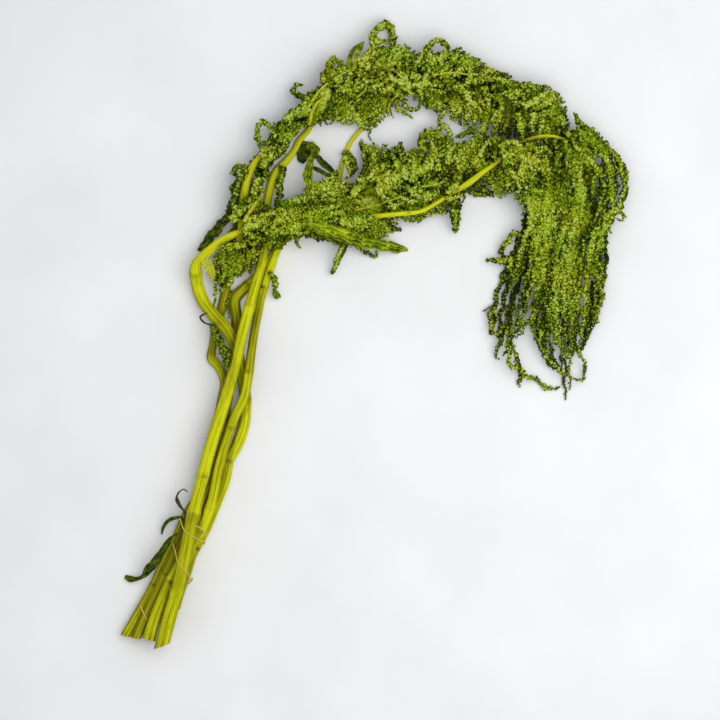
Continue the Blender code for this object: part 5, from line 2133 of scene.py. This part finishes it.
SCRAPS = (
    Leaf("leaf_roll", ((-55.5, 158), (-58, 165), (-64, 167), (-69.5, 163.5), (-70, 157),
                       (-65.5, 152.5)),
         (3.0, 8.5, 9.5, 9.0, 8.0, 5.0), curl=3.0, seed=56, on_top=True, ragged=0.35),
    Leaf("leaf_roll_heart", ((-70, 160), (-64, 159.5), (-57.5, 157)), (5.0, 8.0, 6.5, 3.0),
         curl=2.2, seed=57, on_top=True, ragged=0.35),
    Leaf("torn_skin", ((-158, 66), (-154, 60), (-150, 53), (-149, 45)), (5.0, 9.0, 8.5, 6.5, 2.0),
         curl=1.0, seed=51, slot="lime_stem", on_top=True),
    Leaf("leaf_strip", ((-186, -190), (-192, -198), (-196, -204), (-196.5, -210)),
         (1.4, 3.2, 3.0, 1.2), curl=0.8, seed=52, on_top=True),
    Leaf("leaf_top_strip", (
        (-20.5, 234), (-21.5, 241), (-18, 248.6), (-15.4, 254.3), (-13, 259.6)),
        (2.4, 3.8, 4.1, 3.4, 1.4), curl=0.8, seed=53, on_top=True, fresh=True),
    Leaf("leaf_fork_strip", ((-60, 147), (-54, 144), (-47, 140), (-42, 139)), (3.0, 4.4, 4.0, 2.4),
         curl=0.8, seed=54, on_top=True),
    Leaf("leaf_rib_strip", ((-66, 92), (-50, 88), (-34, 83), (-22, 78), (-14, 75)),
         (2.0, 5.0, 6.5, 5.0, 2.0), curl=1.0, seed=55, on_top=True, fresh=True),
)
SIDE_TASSEL = Tassel(
    "side_tassel", ((-99, 53), (-95, 49.5), (-92.6, 43), (-93.6, 36.5), (-90.5, 30)),
    (2.4, 3.5, 3.6, 2.8, 3.8), 0.34, 31)
UNDER_TASSEL = Tassel(
    "under_tassel", ((-150, 6), (-145.5, -5), (-140, -14), (-136, -24), (-136, -33)),
    (3.0, 4.2, 4.6, 4.6, 3.6), 0.2, 32)
TWIGS = (
    Twig("lower_twig", (
        (-172, -177), (-172.7, -168), (-173.4, -164.5), (-179, -156), (-181.2, -150),
        (-179, -145), (-175, -142.6), (-171.5, -145)),
        (1.3, 1.2, 1.0, 1.0, 1.9, 0.9, 0.6, 0.5), 41),
    Twig("upper_twig", ((-147, 5), (-156, 7), (-160, 12), (-154, 16)), (0.7, 0.8, 1.0, 0.7), 42),
)
TIE = Thread(
    turns=(
        ((-178, -168.5), (-173, -179.5), (-165.5, -184.5), (-157.5, -189)),
        ((-184.5, -192), (-182, -198), (-179.8, -206), (-176.5, -211), (-171, -217),
         (-168.5, -222)),
        ((-214, -247.5), (-211.3, -253.5), (-208.5, -259.5))),
    knot=(-158.5, -181), loose=((-164.5, -175), (-160.5, -176), (-157.5, -179), (-154, -183)))


def lay_heads(bed: Bed) -> list[SeedHead]:
    """Lays every strand of every head, from the table up.

    Args:
        bed: What they are laid on, with the lower stretches of the stems on it.

    Returns:
        The heads, ready to be built.
    """
    left = SeedHead("left_head", LEFT_CORE, UPPER_ARM, tone=0.6, seed=1)
    outer = SeedHead("outer_head", OUTER_CORE, UPPER_ARM, tone=0.57, seed=2)
    low = SeedHead("low_head", LOW_CORE, LOWER_ARM, tone=0.6, seed=3)
    clump = SeedHead("clump", CLUMP_CORE, CLUMP, tone=0.5, seed=6)
    inner = SeedHead("inner_head", INNER_CORE, LOWER_ARM, tone=0.6, seed=4)
    right = SeedHead("right_head", RIGHT_CORE, TAILS, tone=0.48, seed=5, crinkle=2.2)
    tail = SeedHead("tail", INNER_SHEAF[1], TAILS, tone=0.51, seed=7, crinkle=2.1)
    bed.bare = [smooth(stretch, 2.5) for stretch in BARE_LOW + HOLES]
    # cores and the strands that lie lowest, darkened as painted shade
    for head in (right, outer, left, low, clump, inner):
        head.lay_core(bed)
    right.grow(Growth(16, (10, 60), (24, 40), (20, 60), start=0.15, tone=-0.12), bed)
    right.hang(RIGHT_SHEAF, np.linspace(0.0, 0.6, 8), (0.0, 0.2), (3.0, 3.5), 0.72, bed, -0.2)
    right.hang(RIGHT_SHEAF, (0.84, 0.92, 1.0), (0.0, 0.16), (2.9, 3.3), 0.7, bed, -0.2)
    right.hang(RIGHT_SHEAF, (0.66, 0.72, 0.79), (0.0, 0.2), (2.9, 3.3), 0.7, bed, -0.2, begin=0.17)
    outer.grow(Growth(70, (25, 80), (24, 44), tone=-0.12), bed)
    left.grow(Growth(34, (20, 70), (20, 36), tone=-0.1), bed)
    low.grow(Growth(28, (25, 80), (24, 44), tone=-0.12), bed)
    clump.grow(Growth(14, (10, 80), (16, 30), tone=-0.08), bed)
    inner.grow(Growth(44, (25, 80), (26, 48), tone=-0.12), bed)
    tail.hang(INNER_SHEAF, np.linspace(0.0, 1.0, 7), (0.0, 0.16), (3.0, 3.5), 0.76, bed, -0.2)
    # single strands along the edges, and strands into what is still empty
    outer.trim(OUTER_LOOPS, bed, -0.04)
    left.trim(LEFT_LOOPS, bed, -0.08)
    inner.trim(INNER_LOOPS, bed)
    low.trim(LOW_LOOPS, bed, -0.06)
    outer.fill(bed, 90, tone=-0.06)
    left.fill(bed, 40, tone=-0.06)
    low.fill(bed, 50, tone=-0.06)
    inner.fill(bed, 70, tone=-0.06)
    right.fill(bed, 50, tone=-0.06)
    right.hang(RIGHT_SHEAF, (0.04, 0.14, 0.25, 0.36, 0.47, 0.58), (0.02, 0.3), (2.7, 3.1), 0.76,
               bed, -0.14, wobble=3.6)
    right.hang(RIGHT_SHEAF, (0.87, 0.99), (0.02, 0.2), (2.7, 3.1), 0.76, bed, -0.06)
    tail.hang(INNER_SHEAF, (0.1, 0.36, 0.62, 0.88), (0.2, 0.4), (2.7, 3.1), 0.76, bed, -0.14)
    tail.hang(INNER_SHEAF, (0.2, 0.8), (0.1, 0.25), (2.7, 3.1), 0.74, bed, -0.04, begin=0.4)
    right.hang(RIGHT_SHEAF, (0.24, 0.44, 0.6, 0.76), (0.02, 0.16), (2.6, 3.0), 0.7, bed, -0.06,
               begin=0.5)
    right.trim(RIGHT_LOOPS, bed, -0.06)
    tail.trim(TAIL_LOOPS, bed, -0.04)
    # the upper stretches of the stems, and florets over and beside them
    bed.lift_roof()
    for stem in STEMS:
        if stem.name in UPPER_FROM:
            upper = stem.path[distance_along(stem.path) > UPPER_FROM[stem.name]]
            bed.stamp(upper, florets=False)
            bed.make_room(upper, 5.5)
    bed.bare += [smooth(stretch, 2.5) for stretch in BARE_HIGH]
    heads = {"low": low, "inner": inner, "right": right, "clump": clump}
    for name, growth, stretch in COVERS:
        heads[name].grow(growth, bed, smooth(stretch))
    # short strands that curl on top, most of them brightened as painted light
    outer.grow(Growth(120, (0, 110), (10, 24), (20, 130), (0, 17), tone=0.03), bed)
    left.grow(Growth(44, (0, 90), (10, 22), (20, 120), (0, 9), tone=-0.02), bed)
    low.grow(Growth(22, (0, 100), (12, 26), (20, 120), (0, 14), end=0.34, tone=-0.2), bed)
    low.grow(Growth(38, (0, 100), (12, 26), (20, 120), (0, 15), start=0.3, tone=0.03), bed)
    inner.grow(Growth(76, (0, 100), (12, 26), (20, 120), (0, 17), tone=0.03), bed)
    right.grow(Growth(26, (-10, 60), (14, 30), (10, 80), (0, 12), tone=0.02), bed)
    right.hang(RIGHT_SHEAF, (0.02, 0.14, 0.27, 0.4, 0.55, 0.83, 0.94), (0.08, 0.34), (2.7, 3.1),
               0.78, bed, 0.1, wobble=4.6)
    tail.hang(INNER_SHEAF, (0.06, 0.36, 0.66, 0.94), (0.24, 0.46), (2.7, 3.1), 0.78, bed, 0.1,
              wobble=4.4)
    left.trim(LEFT_FRONDS, bed, -0.2)
    low.trim(LOW_FRONDS, bed, -0.04)
    low.strands += clump.strands
    inner.strands += tail.strands
    return [left, outer, low, inner, right]


def main() -> None:
    """Builds the bunch piece by piece, from the table up."""
    logging.basicConfig(level=logging.INFO, format="%(message)s")
    Studio().build()
    skins = {
        "lime_stem": StemSkin("dyed dried stem, lime").make(),
        "olive_stem": StemSkin("dyed dried stem, olive", face="#A3A502", ridge="#C6CB10").make(),
    }
    pith = Fibre("cut pith", "#A9A02A", "#D8D27A", 0.8).make()
    straw = Fibre("straw thread", "#B09A2C", "#E2CF60", 0.6).make()
    stalk = Fibre("dyed dried side stalk", "#8F9204", "#CDD012", 0.6, grain_mm=1.6).make()
    shrivelled = Fibre("shrivelled leaf stalk", "#141A04", "#3B430C", 0.75).make()
    leaf = DriedLeaf("dried amaranth leaf").make()
    fresh = DriedLeaf("dried amaranth leaf, dyed bright", dark="#2C3A08", body="#6C8206",
                      light="#A2B010", edge="#C2C82A", pleats=3.0).make()
    papers = {
        "left_head": ("left_florets", FloretPaper("dried florets, deep green", body="#7A8C05")),
        "outer_head": ("outer_florets", FloretPaper("dried florets, mid green")),
        "low_head": ("low_florets", FloretPaper("dried florets, yellow green", body="#889608")),
        "inner_head": ("inner_florets", FloretPaper("dried florets, bright green", body="#889608")),
        "right_head": ("right_florets", FloretPaper("dried florets of the tail", body="#7E8F0A")),
    }
    tassel = FloretPaper("dried florets of a tassel", tip="#86950F").make()

    bed = Bed()
    bed.set_limit(Gauge(tuple(papers)))
    for stem in STEMS:
        along = distance_along(stem.path)
        under = along <= UPPER_FROM.get(stem.name, 9999.0)
        bed.stamp(stem.path[under], florets=False)
        if not under.all():
            bed.hang_roof(stem.path[~under])
    coat = FloretCoat(BractMoulds())
    heads = lay_heads(bed)
    crests = bed.crests()
    # how far places lie below the ridges of the pile, which darkens florets and stems as painted
    # shade
    coat.depth = lambda places: bed.sunk(crests, places)
    for stem in STEMS:
        stem.build(skins[stem.slot], pith, coat.depth)
    for head in heads:
        slot, paper = papers[head.name]
        head.build(coat, paper.make(), slot)

    for blade in LEAVES + SCRAPS:
        finish = stalk if blade.slot == "lime_stem" else fresh if blade.fresh else leaf
        blade.build(finish, bed)
    SIDE_TASSEL.build(coat, tassel)
    UNDER_TASSEL.build(coat, tassel)
    for twig in TWIGS:
        twig.build(shrivelled)
    TIE.build(straw)
    for number, rib in enumerate(RIBS, 1):
        rib.build(f"rib_{number}", stalk, bed)


if __name__ == "__main__":
    main()
